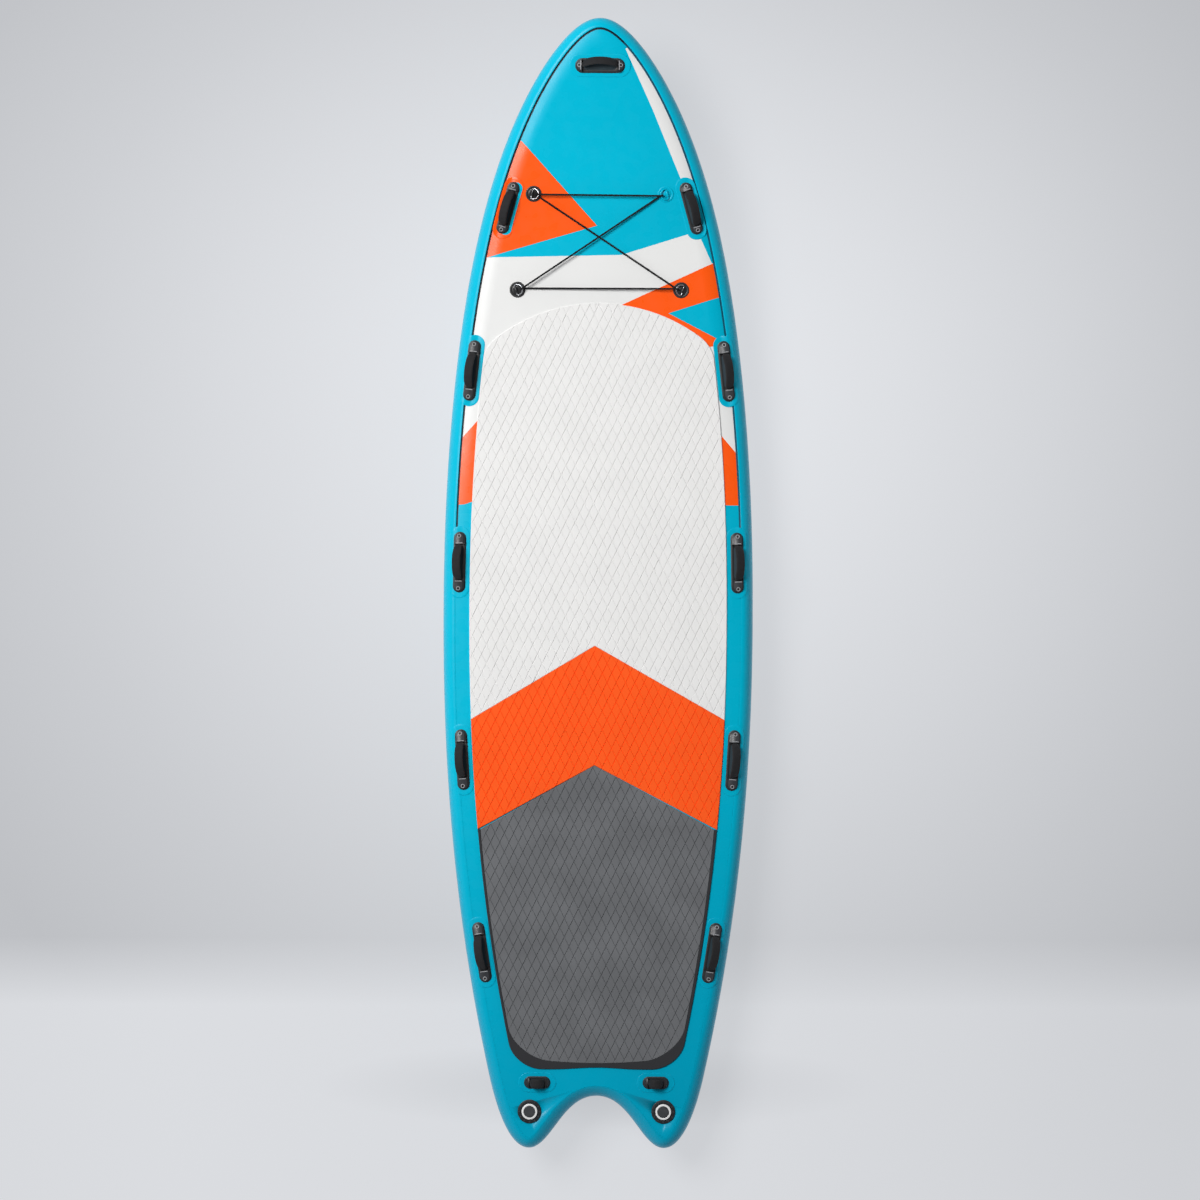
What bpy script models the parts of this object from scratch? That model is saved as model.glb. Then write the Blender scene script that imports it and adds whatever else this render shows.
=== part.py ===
# Inflatable stand-up paddleboard for several people, level on its fins.
# Nose towards +Y, deck towards +Z, the origin on the ground under the middle of its box.
# All sizes are in metres.

import math

import bmesh
import bpy
import numpy as np
from mathutils import Matrix, Vector

# Clearance between pieces that touch on the real board
GAP = 0.0003

# Outline of the hull, seen from above
LENGTH = 4.268
WIDTH = 1.180
WIDEST_Y = -0.100
NOSE_POWER = 2.15
NOSE_PINCH = 0.20
NOSE_PINCH_POWER = 7.6
TAIL_TAPER = 0.168
TAIL_TAPER_RUN = 1.700
TAIL_TAPER_POWER = 2.17
TAIL_CORNER_LENGTH = 0.274
TAIL_CORNER_HANDLE = 0.140
TAIL_TIP_OUTER_HANDLE = 0.072
TAIL_TIP_INNER_HANDLE = 0.086
NOTCH_DEPTH = 0.198

# Places across the board, as shares of half its width
TAIL_TIP_ACROSS = 0.4356
NOTCH_HANDLE_ACROSS = 0.2203
TAIL_HANDLE_ACROSS = 0.3808
VALVE_ACROSS = 0.4297
SIDE_FIN_ACROSS = 0.4576

# Thickness, rocker and skins
THICKNESS = 0.150
RAIL_REACH = 0.048
NOSE_RISE = 0.220
ROCKER_START_Y = 0.500
SKIN = 0.0015
CORE_SHEET = 0.0010
YARN_SIDE = 0.014
YARN_PITCH_X = 0.300
YARN_PITCH_Y = 0.400
YARN_EDGE_MARGIN = 0.060

# Deck pad
PAD_THICKNESS = 0.006
PAD_INSET = 0.102
PAD_NOSE_GAP = 1.057
PAD_NOSE_RADIUS = 0.648
PAD_NOSE_CORNER = 0.090
PAD_TAIL_GAP = 0.310
PAD_TAIL_CORNER = 0.150
PAD_CORNER_FULLNESS = 0.45
BORDER_SIDE = 0.010
BORDER_END = 0.026
CHEVRON_APEX_X = -0.012
FRONT_CHEVRON_FROM_TAIL = 1.915
FRONT_CHEVRON_FALL = 0.280
REAR_CHEVRON_FROM_TAIL = 1.462
REAR_CHEVRON_FALL = 0.243

# Handles
BASE_PLATE = 0.003
BASE_RIM = 0.012
PATCH_THICKNESS = 0.0012
BASE_SINK = 0.0006
END_PAD_RIM = 0.004
END_PAD_TIP = 0.0035
END_PAD_SINK = 0.002
PIN_WALL = 0.0018
HINGE_HEIGHT = 0.007
PIN_RADIUS = 0.0028
PIN_LENGTH = 0.007
PIN_BORE_OVERRUN = 0.001
ELBOW_REACH = 0.005
ELBOW_RISE = 0.09
ELBOW_RADIUS = 0.0040
GRIP_THICKNESS = 0.009
GRIP_SQUARENESS = 2.6
GRIP_FLATNESS = 0.6
GRIP_FIRST_DEG = 14.0
GRIP_END_WIDTH = 0.62
GRIP_SPREAD_FROM = 0.3
GRIP_SPREAD_RUN = 0.4
LONG_BASE_LENGTH = 0.230
MEDIUM_BASE_LENGTH = 0.200
NOSE_BASE_LENGTH = 0.186
SHORT_BASE_LENGTH = 0.100
BASE_WIDTH = 0.047
NOSE_BASE_WIDTH = 0.055
LONG_GRIP_HALF = 0.062
SHORT_GRIP_HALF = 0.024
LONG_GRIP_HEIGHT = 0.035
SHORT_GRIP_HEIGHT = 0.026
LONG_GRIP_WIDTH = 0.027
SHORT_GRIP_WIDTH = 0.034
PATCH_END_MARGIN = 0.022
PATCH_SIDE_MARGIN = 0.014
SIDE_HANDLE_INSET = 0.062
FRONT_HANDLE_INSET = 0.086
SIDE_HANDLE_Y = (1.432, 0.823, 0.097, -0.652, -1.382)
SIDE_LEAN_DEG = 20.0
NOSE_LEAN_DEG = 38.0
NOSE_HANDLE_FROM_TIP = 0.182
TAIL_HANDLE_FROM_TIP = 0.259

# Lashing rings and the elastic cord laced through them
RING_WIRE_RADIUS = 0.0025
RING_HALF_BAR = 0.017
RING_REACH = 0.026
RING_APEX_HEIGHT = 0.0135
RING_BAR_OFFSET = 0.006
RING_CORNER = 0.003
RING_PATCH_RADIUS = 0.030
RING_PATCH_THICKNESS = 0.002
KEEPER_WIDTH = 0.020
KEEPER_WALL = 0.0022
KEEPER_FOOT = 1.6
FRONT_RING_INSET = 0.1717
FRONT_RING_FROM_NOSE = 0.650
REAR_RING_INSET = 0.1917
REAR_RING_FROM_NOSE = 1.0065
CORD_RADIUS = 0.0035
CORD_BACK_CLEARANCE = 0.0009
CORD_RISE_CLEARANCE = 0.0014
KNOT_BACK_CLEARANCE = 0.0014
KNOT_LENGTH = 0.017
KNOT_WIDTH = 0.021
KNOT_HEIGHT = 0.014
CORD_END_SPREAD = 0.55

# Inflation valves
VALVE_FROM_TAIL = 0.149
FLANGE_RADIUS = 0.045
FLANGE_HEIGHT = 0.0040
FLANGE_CHAMFER = 0.0015
FLANGE_LUGS = 12
LUG_CIRCLE = 0.0385
LUG_LENGTH = 0.008
LUG_WIDTH = 0.004
LUG_HEIGHT = 0.0015
BARREL_RADIUS = 0.027
BARREL_BORE = 0.022
BARREL_DEPTH = 0.027
BARREL_FLOOR = 0.003
SEAT_RADIUS = 0.016
HUB_RADIUS = 0.0065
SPIDER_ARMS = 4
SPIDER_ARM_WIDTH = 0.0030
COLLAR_RADIUS = 0.0298
COLLAR_HEIGHT = 0.0055
COLLAR_MOUTH = 0.0224
COLLAR_LEDGE = 0.0022
COLLAR_SLEEVE_BORE = 0.0190
COLLAR_SLEEVE_DEPTH = 0.012
CAP_CLEARANCE = 0.0006
CAP_THICKNESS = 0.0026
CAP_PLUG_WALL = 0.0020
CAP_PLUG_DEPTH = 0.0026
STEM_RADIUS = 0.0025
BUTTON_RADIUS = 0.0060
BUTTON_HEIGHT = 0.0025
BUTTON_TOP = 0.0035
POPPET_RADIUS = 0.0195
POPPET_HEIGHT = 0.003
SPRING_RADIUS = 0.0046
SPRING_WIRE_RADIUS = 0.0006
SPRING_TURNS = 4
CLAMP_RADIUS = 0.040
CLAMP_HEIGHT = 0.006

# Fins, their boxes and the plug that locks the centre one
FIN_DEPTH = 0.110
FIN_BASE_LENGTH = 0.160
FIN_TIP_LENGTH = 0.048
FIN_RAKE = 0.105
FIN_THICKNESS = 0.0072
FIN_TIP_THICKNESS = 0.0030
FIN_LEAD_CURVE = 1.25
FIN_TRAIL_CURVE = 0.8
FIN_TIP_SWEEP = 0.35
FIN_TIP_SWEEP_POWER = 4
FIN_SECTION = ((0, 0), (0.12, 0.75), (0.35, 1.0), (0.7, 0.7), (1, 0.08))
BOX_LENGTH = 0.230
BOX_WIDTH = 0.034
BOX_HEIGHT = 0.0200
BOX_END_WALL = 0.010
BOX_PATCH_MARGIN = 0.040
BOX_PATCH_WIDTH = 0.090
FIN_PATCH_THICKNESS = 0.002
SLOT_HEAD_WIDTH = 0.021
SLOT_HEAD_HEIGHT = 0.007
SLOT_NECK_WIDTH = 0.0085
SLOT_LIP = 0.004
PLUG_RECESS = 0.004
PLUG_TAB_LENGTH = 0.012
PLUG_TAB_DEPTH = 0.008
SIDE_FIN_PATCH_WIDTH = 0.056
CENTRE_FIN_FROM_TAIL = 0.480
SIDE_FIN_FROM_TAIL = 0.530

# Facets
NOSE_STEPS = 18
SIDE_STEP = 0.150
CORNER_STEPS = 5
NOTCH_STEPS = 7
ROCKER_STEPS = 13
RAIL_ANGLES_DEG = (90.0, 75.0, 55.0, 28.0, 0.0, -30.0, -60.0, -90.0)
RAIL_INNER_ANGLES_DEG = (-90.0, -35.0, 35.0, 90.0)
ROUND_END_STEPS = 6
BASE_END_STEPS = 4
PATCH_END_STEPS = 6
GRIP_STEPS = 6
GRIP_SIDES = 8
RING_STEPS = 9
RING_SIDES = 6
RING_PATCH_SEGMENTS = 16
KNOT_SEGMENTS = 12
KNOT_LEVELS = 7
CORD_SIDES = 8
CORD_TURN_STEPS = 7
VALVE_SEGMENTS = 20
STEM_SEGMENTS = 12
POPPET_SEGMENTS = 16
SPRING_STEPS = 8
SPRING_SIDES = 4
FIN_LEVELS = 7
SLOPE_STEP = 0.015
MITRE_LIMIT = 0.3
CUT_TOLERANCE = 1e-6
SMOOTH_FLAT_DEG = 35.0
SMOOTH_GRIP_DEG = 50.0
SMOOTH_ROUND_DEG = 60.0

# Colours, roughness and metal of each finish
TEAL = ((0.002, 0.462, 0.658), 0.42, 0.0)
WHITE = ((0.80, 0.80, 0.80), 0.55, 0.0)
ORANGE = ((0.96, 0.105, 0.016), 0.60, 0.0)
SLATE = ((0.125, 0.130, 0.138), 0.65, 0.0)
CHARCOAL = ((0.029, 0.031, 0.034), 0.65, 0.0)
RUBBER_BLACK = ((0.018, 0.018, 0.020), 0.55, 0.0)
VALVE_WHITE = ((0.78, 0.78, 0.77), 0.40, 0.0)
VALVE_GREY = ((0.032, 0.034, 0.036), 0.45, 0.0)
STAINLESS = ((0.62, 0.63, 0.65), 0.25, 1.0)
YARN = ((0.70, 0.70, 0.66), 0.85, 0.0)
FIN_BLACK = ((0.020, 0.021, 0.023), 0.35, 0.0)

# Levels and places worked out from the sizes above
NOSE_Y = LENGTH / 2
TAIL_Y = -LENGTH / 2
TAIL_TIP_X = TAIL_TIP_ACROSS * WIDTH / 2
NOTCH_HANDLE = NOTCH_HANDLE_ACROSS * WIDTH / 2
TAIL_HANDLE_X = TAIL_HANDLE_ACROSS * WIDTH / 2
VALVE_X = VALVE_ACROSS * WIDTH / 2
SIDE_FIN_X = SIDE_FIN_ACROSS * WIDTH / 2
BOTTOM_Z = GAP + BOX_HEIGHT + FIN_DEPTH
DECK_Z = BOTTOM_Z + THICKNESS
DECK_TOP = DECK_Z + GAP


def clear_scene():
    for old in list(bpy.data.objects):
        bpy.data.objects.remove(old)


# Outline and rocker of the hull

def half_width(y):
    if y > WIDEST_Y:
        t = (y - WIDEST_Y) / (NOSE_Y - WIDEST_Y)
        pinch = 1 - NOSE_PINCH * t**NOSE_PINCH_POWER
        return WIDTH / 2 * math.sqrt(max(0.0, 1 - t**NOSE_POWER)) * pinch
    taper = ((WIDEST_Y - y) / TAIL_TAPER_RUN) ** TAIL_TAPER_POWER
    return WIDTH / 2 - TAIL_TAPER * taper


def bezier(p0, p1, p2, p3, steps):
    """The points after p0 on a cubic curve, p3 among them."""
    found = []
    for i in range(1, steps + 1):
        t = i / steps
        s = 1 - t
        terms = [(s**3, p0), (3 * s * s * t, p1), (3 * s * t * t, p2), (t**3, p3)]
        found.append(tuple(sum(weight * p[k] for weight, p in terms) for k in (0, 1)))
    return found


def starboard_outline():
    """Points from the nose tip, down the starboard side and round the tail to the notch."""
    points = []
    for i in range(NOSE_STEPS):
        angle = math.pi / 2 * (1 - i / NOSE_STEPS)
        y = WIDEST_Y + (NOSE_Y - WIDEST_Y) * math.sin(angle)
        points.append((0.0 if i == 0 else half_width(y), y))
    corner_y = TAIL_Y + TAIL_CORNER_LENGTH
    count = math.ceil((WIDEST_Y - corner_y) / SIDE_STEP)
    for i in range(count + 1):
        y = WIDEST_Y + (corner_y - WIDEST_Y) * i / count
        points.append((half_width(y), y))
    corner = points[-1]
    before = (half_width(corner_y + SLOPE_STEP), corner_y + SLOPE_STEP)
    along = Vector(corner) - Vector(before)
    handle = Vector(corner) + along.normalized() * TAIL_CORNER_HANDLE
    tip = (TAIL_TIP_X, TAIL_Y)
    outer = (TAIL_TIP_X + TAIL_TIP_OUTER_HANDLE, TAIL_Y)
    points += bezier(corner, tuple(handle), outer, tip, CORNER_STEPS)
    inner = (TAIL_TIP_X - TAIL_TIP_INNER_HANDLE, TAIL_Y)
    apex_y = TAIL_Y + NOTCH_DEPTH
    points += bezier(tip, inner, (NOTCH_HANDLE, apex_y), (0.0, apex_y), NOTCH_STEPS)
    return points


def mirrored(points):
    """A half outline from the centre line to the centre line, closed by its mirror image."""
    return points + [(-x, y) for x, y in reversed(points[1:-1])]


def inward_offsets(loop):
    """For each corner of a clockwise loop, the step that moves both its sides in by one metre."""
    steps = []
    for i, here in enumerate(loop):
        before = (Vector(here) - Vector(loop[i - 1])).normalized()
        after = (Vector(loop[(i + 1) % len(loop)]) - Vector(here)).normalized()
        n0 = Vector((before.y, -before.x))
        n1 = Vector((after.y, -after.x))
        mean = (n0 + n1).normalized()
        steps.append(mean / max(MITRE_LIMIT, mean.dot(n0)))
    return steps


def inset_loop(loop, depth):
    return [tuple(Vector(p) + n * depth) for p, n in zip(loop, inward_offsets(loop))]


OUTLINE = mirrored(starboard_outline())
OFFSETS = inward_offsets(OUTLINE)
BEND_Y = np.linspace(ROCKER_START_Y, NOSE_Y, ROCKER_STEPS)
BEND_Z = NOSE_RISE * ((BEND_Y - ROCKER_START_Y) / (NOSE_Y - ROCKER_START_Y)) ** 2


def bend(y):
    """How far the rocker lifts the hull at y."""
    return float(np.interp(y, BEND_Y, BEND_Z))


def rail_section(depth, height, angles):
    """Inset and height of points round the bulging side wall."""
    found = []
    for angle in angles:
        turn = math.radians(angle)
        found.append((RAIL_REACH - depth * math.cos(turn), THICKNESS / 2 + height * math.sin(turn)))
    return found


RAIL_OUTER = rail_section(RAIL_REACH, THICKNESS / 2, RAIL_ANGLES_DEG)
RAIL_INNER = rail_section(RAIL_REACH - SKIN, THICKNESS / 2 - SKIN, RAIL_INNER_ANGLES_DEG)


def top_of_rail(inset):
    """Height of the hull's top above its bottom, this far inside the outline."""
    upper = [p for p in RAIL_OUTER if p[1] >= THICKNESS / 2]
    return float(np.interp(inset, [p[0] for p in reversed(upper)], [p[1] for p in reversed(upper)]))


# Objects and materials

def make_material(name, finish):
    colour, roughness, metallic = finish
    made = bpy.data.materials.new(name)
    made.use_nodes = True
    shader = made.node_tree.nodes["Principled BSDF"]
    shader.inputs["Base Color"].default_value = (*colour, 1.0)
    shader.inputs["Roughness"].default_value = roughness
    shader.inputs["Metallic"].default_value = metallic
    made.diffuse_color = (*colour, 1.0)
    return made


def add_object(name, bm, finish, place=None, smooth_deg=SMOOTH_FLAT_DEG):
    """Turns a bmesh into a named object, at the matrix of its joint if it has one."""
    bmesh.ops.recalc_face_normals(bm, faces=bm.faces[:])
    mesh = bpy.data.meshes.new(name)
    bm.to_mesh(mesh)
    bm.free()
    mesh.shade_smooth()
    mesh.set_sharp_from_angle(angle=math.radians(smooth_deg))
    mesh.materials.append(make_material(name, finish))
    made = bpy.data.objects.new(name, mesh)
    bpy.context.scene.collection.objects.link(made)
    if place is not None:
        made.matrix_world = place
    return made


def apply_shape(target, bm, operation, place=None):
    """Joins a helper solid to a piece, or cuts it out of it."""
    bmesh.ops.recalc_face_normals(bm, faces=bm.faces[:])
    label = f"{target.name}_{operation.lower()}_{len(target.modifiers)}"
    mesh = bpy.data.meshes.new(label)
    bm.to_mesh(mesh)
    bm.free()
    helper = bpy.data.objects.new(label, mesh)
    bpy.context.scene.collection.objects.link(helper)
    helper.hide_render = True
    helper.display_type = "WIRE"
    if place is not None:
        helper.matrix_world = place
    cut = target.modifiers.new(label, "BOOLEAN")
    cut.operation = operation
    cut.solver = "EXACT"
    cut.object = helper


# Solids

def prism(loop, low, high):
    """An upright solid with this outline, its walls one face high."""
    bm = bmesh.new()
    bottom = bm.faces.new([bm.verts.new((x, y, low)) for x, y in loop])
    made = bmesh.ops.extrude_face_region(bm, geom=[bottom], use_keep_orig=True)
    raised = [v for v in made["geom"] if isinstance(v, bmesh.types.BMVert)]
    bmesh.ops.translate(bm, verts=raised, vec=(0, 0, high - low))
    return bm


def hull_sheet(loop, low, high, along_deck=True):
    """A sheet or block that lies along the hull and follows its rocker."""
    bm = bmesh.new()
    bm.faces.new([bm.verts.new((x, y, low)) for x, y in loop])
    for y in BEND_Y[:-1]:
        bmesh.ops.bisect_plane(
            bm, geom=bm.verts[:] + bm.edges[:] + bm.faces[:],
            plane_co=(0, y, 0), plane_no=(0, 1, 0), dist=CUT_TOLERANCE,
        )
    made = bmesh.ops.extrude_face_region(bm, geom=bm.faces[:], use_keep_orig=True)
    raised = [v for v in made["geom"] if isinstance(v, bmesh.types.BMVert)]
    bmesh.ops.translate(bm, verts=raised, vec=(0, 0, high - low))
    for v in bm.verts:
        v.co.z += bend(v.co.y)
    return bm


def box(x0, x1, y0, y1, z0, z1):
    return prism([(x0, y0), (x0, y1), (x1, y1), (x1, y0)], z0, z1)


def circle(radius, segments, centre=(0.0, 0.0)):
    return [
        (centre[0] + radius * math.cos(a), centre[1] + radius * math.sin(a))
        for a in (-2 * math.pi * i / segments for i in range(segments))
    ]


def stadium(length, width, steps=BASE_END_STEPS):
    """A clockwise outline with round ends, its length along X."""
    radius = width / 2
    straight = length / 2 - radius
    points = []
    for end, start in ((1, 90.0), (-1, -90.0)):
        for i in range(steps + 1):
            turn = math.radians(start - 180.0 * i / steps)
            points.append((end * straight + radius * math.cos(turn), radius * math.sin(turn)))
    return points


def turned(profile, segments):
    """A solid of revolution round Z from a profile of (radius, height) points."""
    bm = bmesh.new()
    closed = profile[0][0] > 0
    ring = [bm.verts.new((r, 0, z)) for r, z in profile]
    edges = [bm.edges.new(pair) for pair in zip(ring, ring[1:])]
    if closed:
        edges.append(bm.edges.new((ring[-1], ring[0])))
    bmesh.ops.spin(
        bm, geom=ring + edges, cent=(0, 0, 0), axis=(0, 0, 1),
        angle=2 * math.pi, steps=segments, use_duplicate=False,
    )
    bmesh.ops.remove_doubles(bm, verts=bm.verts[:], dist=CUT_TOLERANCE)
    return bm


def lofted(rings, closed=False):
    """A solid through rings of equally many points, capped unless it closes on itself."""
    bm = bmesh.new()
    loops = [[bm.verts.new(p) for p in ring] for ring in rings]
    pairs = list(zip(loops, loops[1:]))
    if closed:
        pairs.append((loops[-1], loops[0]))
    for a, b in pairs:
        for i in range(len(a)):
            j = (i + 1) % len(a)
            bm.faces.new((a[i], a[j], b[j], b[i]))
    if not closed:
        bm.faces.new(loops[0])
        bm.faces.new(list(reversed(loops[-1])))
    return bm


def cylinder_x(radius, x0, x1, segments, height=0.0):
    """A round bar along X."""
    ring = [(radius * math.cos(a), radius * math.sin(a)) for a in
            (2 * math.pi * i / segments for i in range(segments))]
    return lofted([[(x, y, height + z) for y, z in ring] for x in (x0, x1)])


def moved(bm, matrix):
    bmesh.ops.transform(bm, matrix=matrix, verts=bm.verts[:])
    return bm


def deck_frame(x, y, heading_deg, half_length, half_width):
    """Where a stiff piece lies on the deck: it rests on its ends where the rocker is hollow."""
    heading = math.radians(heading_deg)
    reach = abs(half_length * math.sin(heading)) + abs(half_width * math.cos(heading))
    ahead, behind = bend(y + reach), bend(y - reach)
    pitch = math.atan2(ahead - behind, 2 * reach)
    return (
        Matrix.Translation((x, y, DECK_TOP + (ahead + behind) / 2))
        @ Matrix.Rotation(pitch, 4, "X")
        @ Matrix.Rotation(heading, 4, "Z")
    )


# Hull pieces

def add_rail_band():
    """The side wall: one C-shaped band swept round the whole outline."""
    section = RAIL_OUTER + RAIL_INNER
    rings = []
    for (x, y), step in zip(OUTLINE, OFFSETS):
        ring = []
        for inset, height in section:
            px, py = x + step.x * inset, y + step.y * inset
            ring.append((px, py, BOTTOM_Z + height + bend(py)))
        rings.append(ring)
    add_object("rail_band", lofted(rings, closed=True), TEAL, smooth_deg=SMOOTH_ROUND_DEG)


def add_skins():
    seam = inset_loop(OUTLINE, RAIL_REACH + GAP)
    deck = add_object("deck_skin", hull_sheet(seam, DECK_Z - SKIN, DECK_Z), TEAL)
    for side in (1, -1):
        centre = (side * VALVE_X, TAIL_Y + VALVE_FROM_TAIL)
        hole = prism(circle(BARREL_RADIUS + GAP, VALVE_SEGMENTS, centre), DECK_Z - 3 * SKIN, DECK_Z + SKIN)
        apply_shape(deck, hole, "DIFFERENCE")
    add_object("bottom_skin", hull_sheet(seam, BOTTOM_Z, BOTTOM_Z + SKIN), TEAL)


def inside(point, loop):
    """Whether a point lies inside a loop, by counting the sides to its right."""
    x, y = point
    found = False
    for (x0, y0), (x1, y1) in zip(loop, loop[1:] + loop[:1]):
        if (y0 > y) != (y1 > y) and x < x0 + (x1 - x0) * (y - y0) / (y1 - y0):
            found = not found
    return found


def yarn_places():
    """A grid of tufts that stand for the thousands of yarns between the two base cloths."""
    room = inset_loop(OUTLINE, RAIL_REACH + YARN_EDGE_MARGIN)
    rows = int(LENGTH / YARN_PITCH_Y)
    columns = int(WIDTH / YARN_PITCH_X)
    places = []
    for i in range(rows):
        for k in range(columns):
            y = (i - (rows - 1) / 2) * YARN_PITCH_Y
            x = (k - (columns - 1) / 2) * YARN_PITCH_X
            near_valve = math.dist((abs(x), y), (VALVE_X, TAIL_Y + VALVE_FROM_TAIL)) < 2 * BARREL_RADIUS
            if inside((x, y), room) and not near_valve:
                places.append((x, y))
    return places


def add_core():
    """Two base cloths joined by tufts of yarn, which keep the board flat under pressure."""
    loop = inset_loop(OUTLINE, RAIL_REACH + GAP + SKIN)
    low, high = BOTTOM_Z + SKIN + GAP, DECK_Z - SKIN - GAP
    core = add_object("drop_stitch_core", hull_sheet(loop, low, low + CORE_SHEET), YARN)
    apply_shape(core, hull_sheet(loop, high - CORE_SHEET, high), "UNION")
    tufts = bmesh.new()
    half = YARN_SIDE / 2
    for x, y in yarn_places():
        corners = ((x - half, y - half), (x - half, y + half), (x + half, y + half), (x + half, y - half))
        rings = [
            [(px, py, z + bend(py)) for px, py in corners]
            for z in (low + CORE_SHEET / 2, high - CORE_SHEET / 2)
        ]
        mesh = bpy.data.meshes.new("tuft")
        lofted(rings).to_mesh(mesh)
        tufts.from_mesh(mesh)
        bpy.data.meshes.remove(mesh)
    apply_shape(core, tufts, "UNION")
    for side in (1, -1):
        centre = (side * VALVE_X, TAIL_Y + VALVE_FROM_TAIL)
        hole = circle(BARREL_RADIUS + GAP, VALVE_SEGMENTS, centre)
        apply_shape(core, prism(hole, high - 3 * CORE_SHEET, high + CORE_SHEET), "DIFFERENCE")


# Deck pad

def pad_half_width(y, inset):
    """Half the width of the pad at y, this far inside the outline."""
    slope = (half_width(y + SLOPE_STEP) - half_width(y - SLOPE_STEP)) / (2 * SLOPE_STEP)
    return half_width(y) - inset * math.sqrt(1 + slope * slope)


def rounded_corner(a, corner, b, radius):
    """Points that round off a corner between two straight lines."""
    to_a = (Vector(a) - Vector(corner)).normalized()
    to_b = (Vector(b) - Vector(corner)).normalized()
    start = Vector(corner) + to_a * radius
    end = Vector(corner) + to_b * radius
    return [tuple(start)] + bezier(
        tuple(start), tuple(Vector(corner) + to_a * radius * PAD_CORNER_FULLNESS),
        tuple(Vector(corner) + to_b * radius * PAD_CORNER_FULLNESS), tuple(end), ROUND_END_STEPS,
    )


def pad_side(top_y, bottom_y, inset):
    """Points down the starboard edge of the pad."""
    count = max(1, round((top_y - bottom_y) / SIDE_STEP))
    ys = [top_y + (bottom_y - top_y) * i / count for i in range(count + 1)]
    return [(pad_half_width(y, inset), y) for y in ys]


def add_pads():
    low, high = DECK_TOP, DECK_TOP + PAD_THICKNESS
    front_apex = (CHEVRON_APEX_X, TAIL_Y + FRONT_CHEVRON_FROM_TAIL)
    rear_apex = (CHEVRON_APEX_X, TAIL_Y + REAR_CHEVRON_FROM_TAIL)
    front_edge_y = front_apex[1] - FRONT_CHEVRON_FALL
    rear_edge_y = rear_apex[1] - REAR_CHEVRON_FALL
    bottom_y = TAIL_Y + PAD_TAIL_GAP
    arc_top = NOSE_Y - PAD_NOSE_GAP
    arc_end = pad_half_width(arc_top - PAD_NOSE_CORNER, PAD_INSET)
    arc = []
    for i in range(1, ROUND_END_STEPS + 1):
        x = (arc_end - PAD_NOSE_CORNER / 2) * i / ROUND_END_STEPS
        arc.append((x, arc_top - PAD_NOSE_RADIUS + math.sqrt(PAD_NOSE_RADIUS**2 - x * x)))
    side = pad_side(arc[-1][1] - PAD_NOSE_CORNER, front_edge_y + GAP / 2, PAD_INSET)
    starboard = [(0.0, arc_top)] + arc + side
    port = [(-x, y) for x, y in reversed(starboard[1:])]
    loop = starboard + [(front_apex[0], front_apex[1] + GAP / 2)] + port
    add_object("pad_front", hull_sheet(loop, low, high), WHITE)

    side = pad_side(front_edge_y - GAP / 2, rear_edge_y + GAP / 2, PAD_INSET)
    port = [(-x, y) for x, y in reversed(side)]
    loop = (
        [(front_apex[0], front_apex[1] - GAP / 2)] + side
        + [(rear_apex[0], rear_apex[1] + GAP / 2)] + port
    )
    add_object("pad_middle", hull_sheet(loop, low, high), ORANGE)

    inner = PAD_INSET + BORDER_SIDE + GAP
    inner_bottom = bottom_y + BORDER_END + GAP
    side = pad_side(rear_edge_y - GAP / 2, inner_bottom + PAD_TAIL_CORNER, inner)
    corner_x = pad_half_width(inner_bottom, inner)
    corner = rounded_corner(side[-1], (corner_x, inner_bottom), (0.0, inner_bottom), PAD_TAIL_CORNER)
    starboard = side[:-1] + corner
    port = [(-x, y) for x, y in reversed(starboard)]
    loop = [(rear_apex[0], rear_apex[1] - GAP / 2)] + starboard + port
    add_object("pad_rear", hull_sheet(loop, low, high), SLATE)

    inner = PAD_INSET + BORDER_SIDE
    inner_bottom = bottom_y + BORDER_END
    side = pad_side(rear_edge_y - GAP / 2, inner_bottom + PAD_TAIL_CORNER, inner)
    corner_x = pad_half_width(inner_bottom, inner)
    corner = rounded_corner(side[-1], (corner_x, inner_bottom), (0.0, inner_bottom), PAD_TAIL_CORNER)
    inner_edge = side[:-1] + corner
    side = pad_side(rear_edge_y - GAP / 2, bottom_y + PAD_TAIL_CORNER, PAD_INSET)
    corner_x = pad_half_width(bottom_y, PAD_INSET)
    corner = rounded_corner(side[-1], (corner_x, bottom_y), (0.0, bottom_y), PAD_TAIL_CORNER)
    outer_edge = side[:-1] + corner
    loop = (
        outer_edge + [(-x, y) for x, y in reversed(outer_edge)]
        + [(-x, y) for x, y in inner_edge] + list(reversed(inner_edge))
    )
    add_object("pad_border", hull_sheet(loop, low, high), CHARCOAL)


# Handles

def handle_base_shape(length, width, grip_half, floor):
    """A moulded frame round a slot, with a raised pad at each end that holds a grip pin."""
    outer = stadium(length, width)
    slot = stadium(2 * grip_half, width - 2 * BASE_RIM)
    top = floor + BASE_PLATE
    frame = lofted(
        [
            [(x, y, floor) for x, y in outer], [(x, y, top) for x, y in outer],
            [(x, y, top) for x, y in slot], [(x, y, floor) for x, y in slot],
        ],
        closed=True,
    )
    return frame


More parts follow.
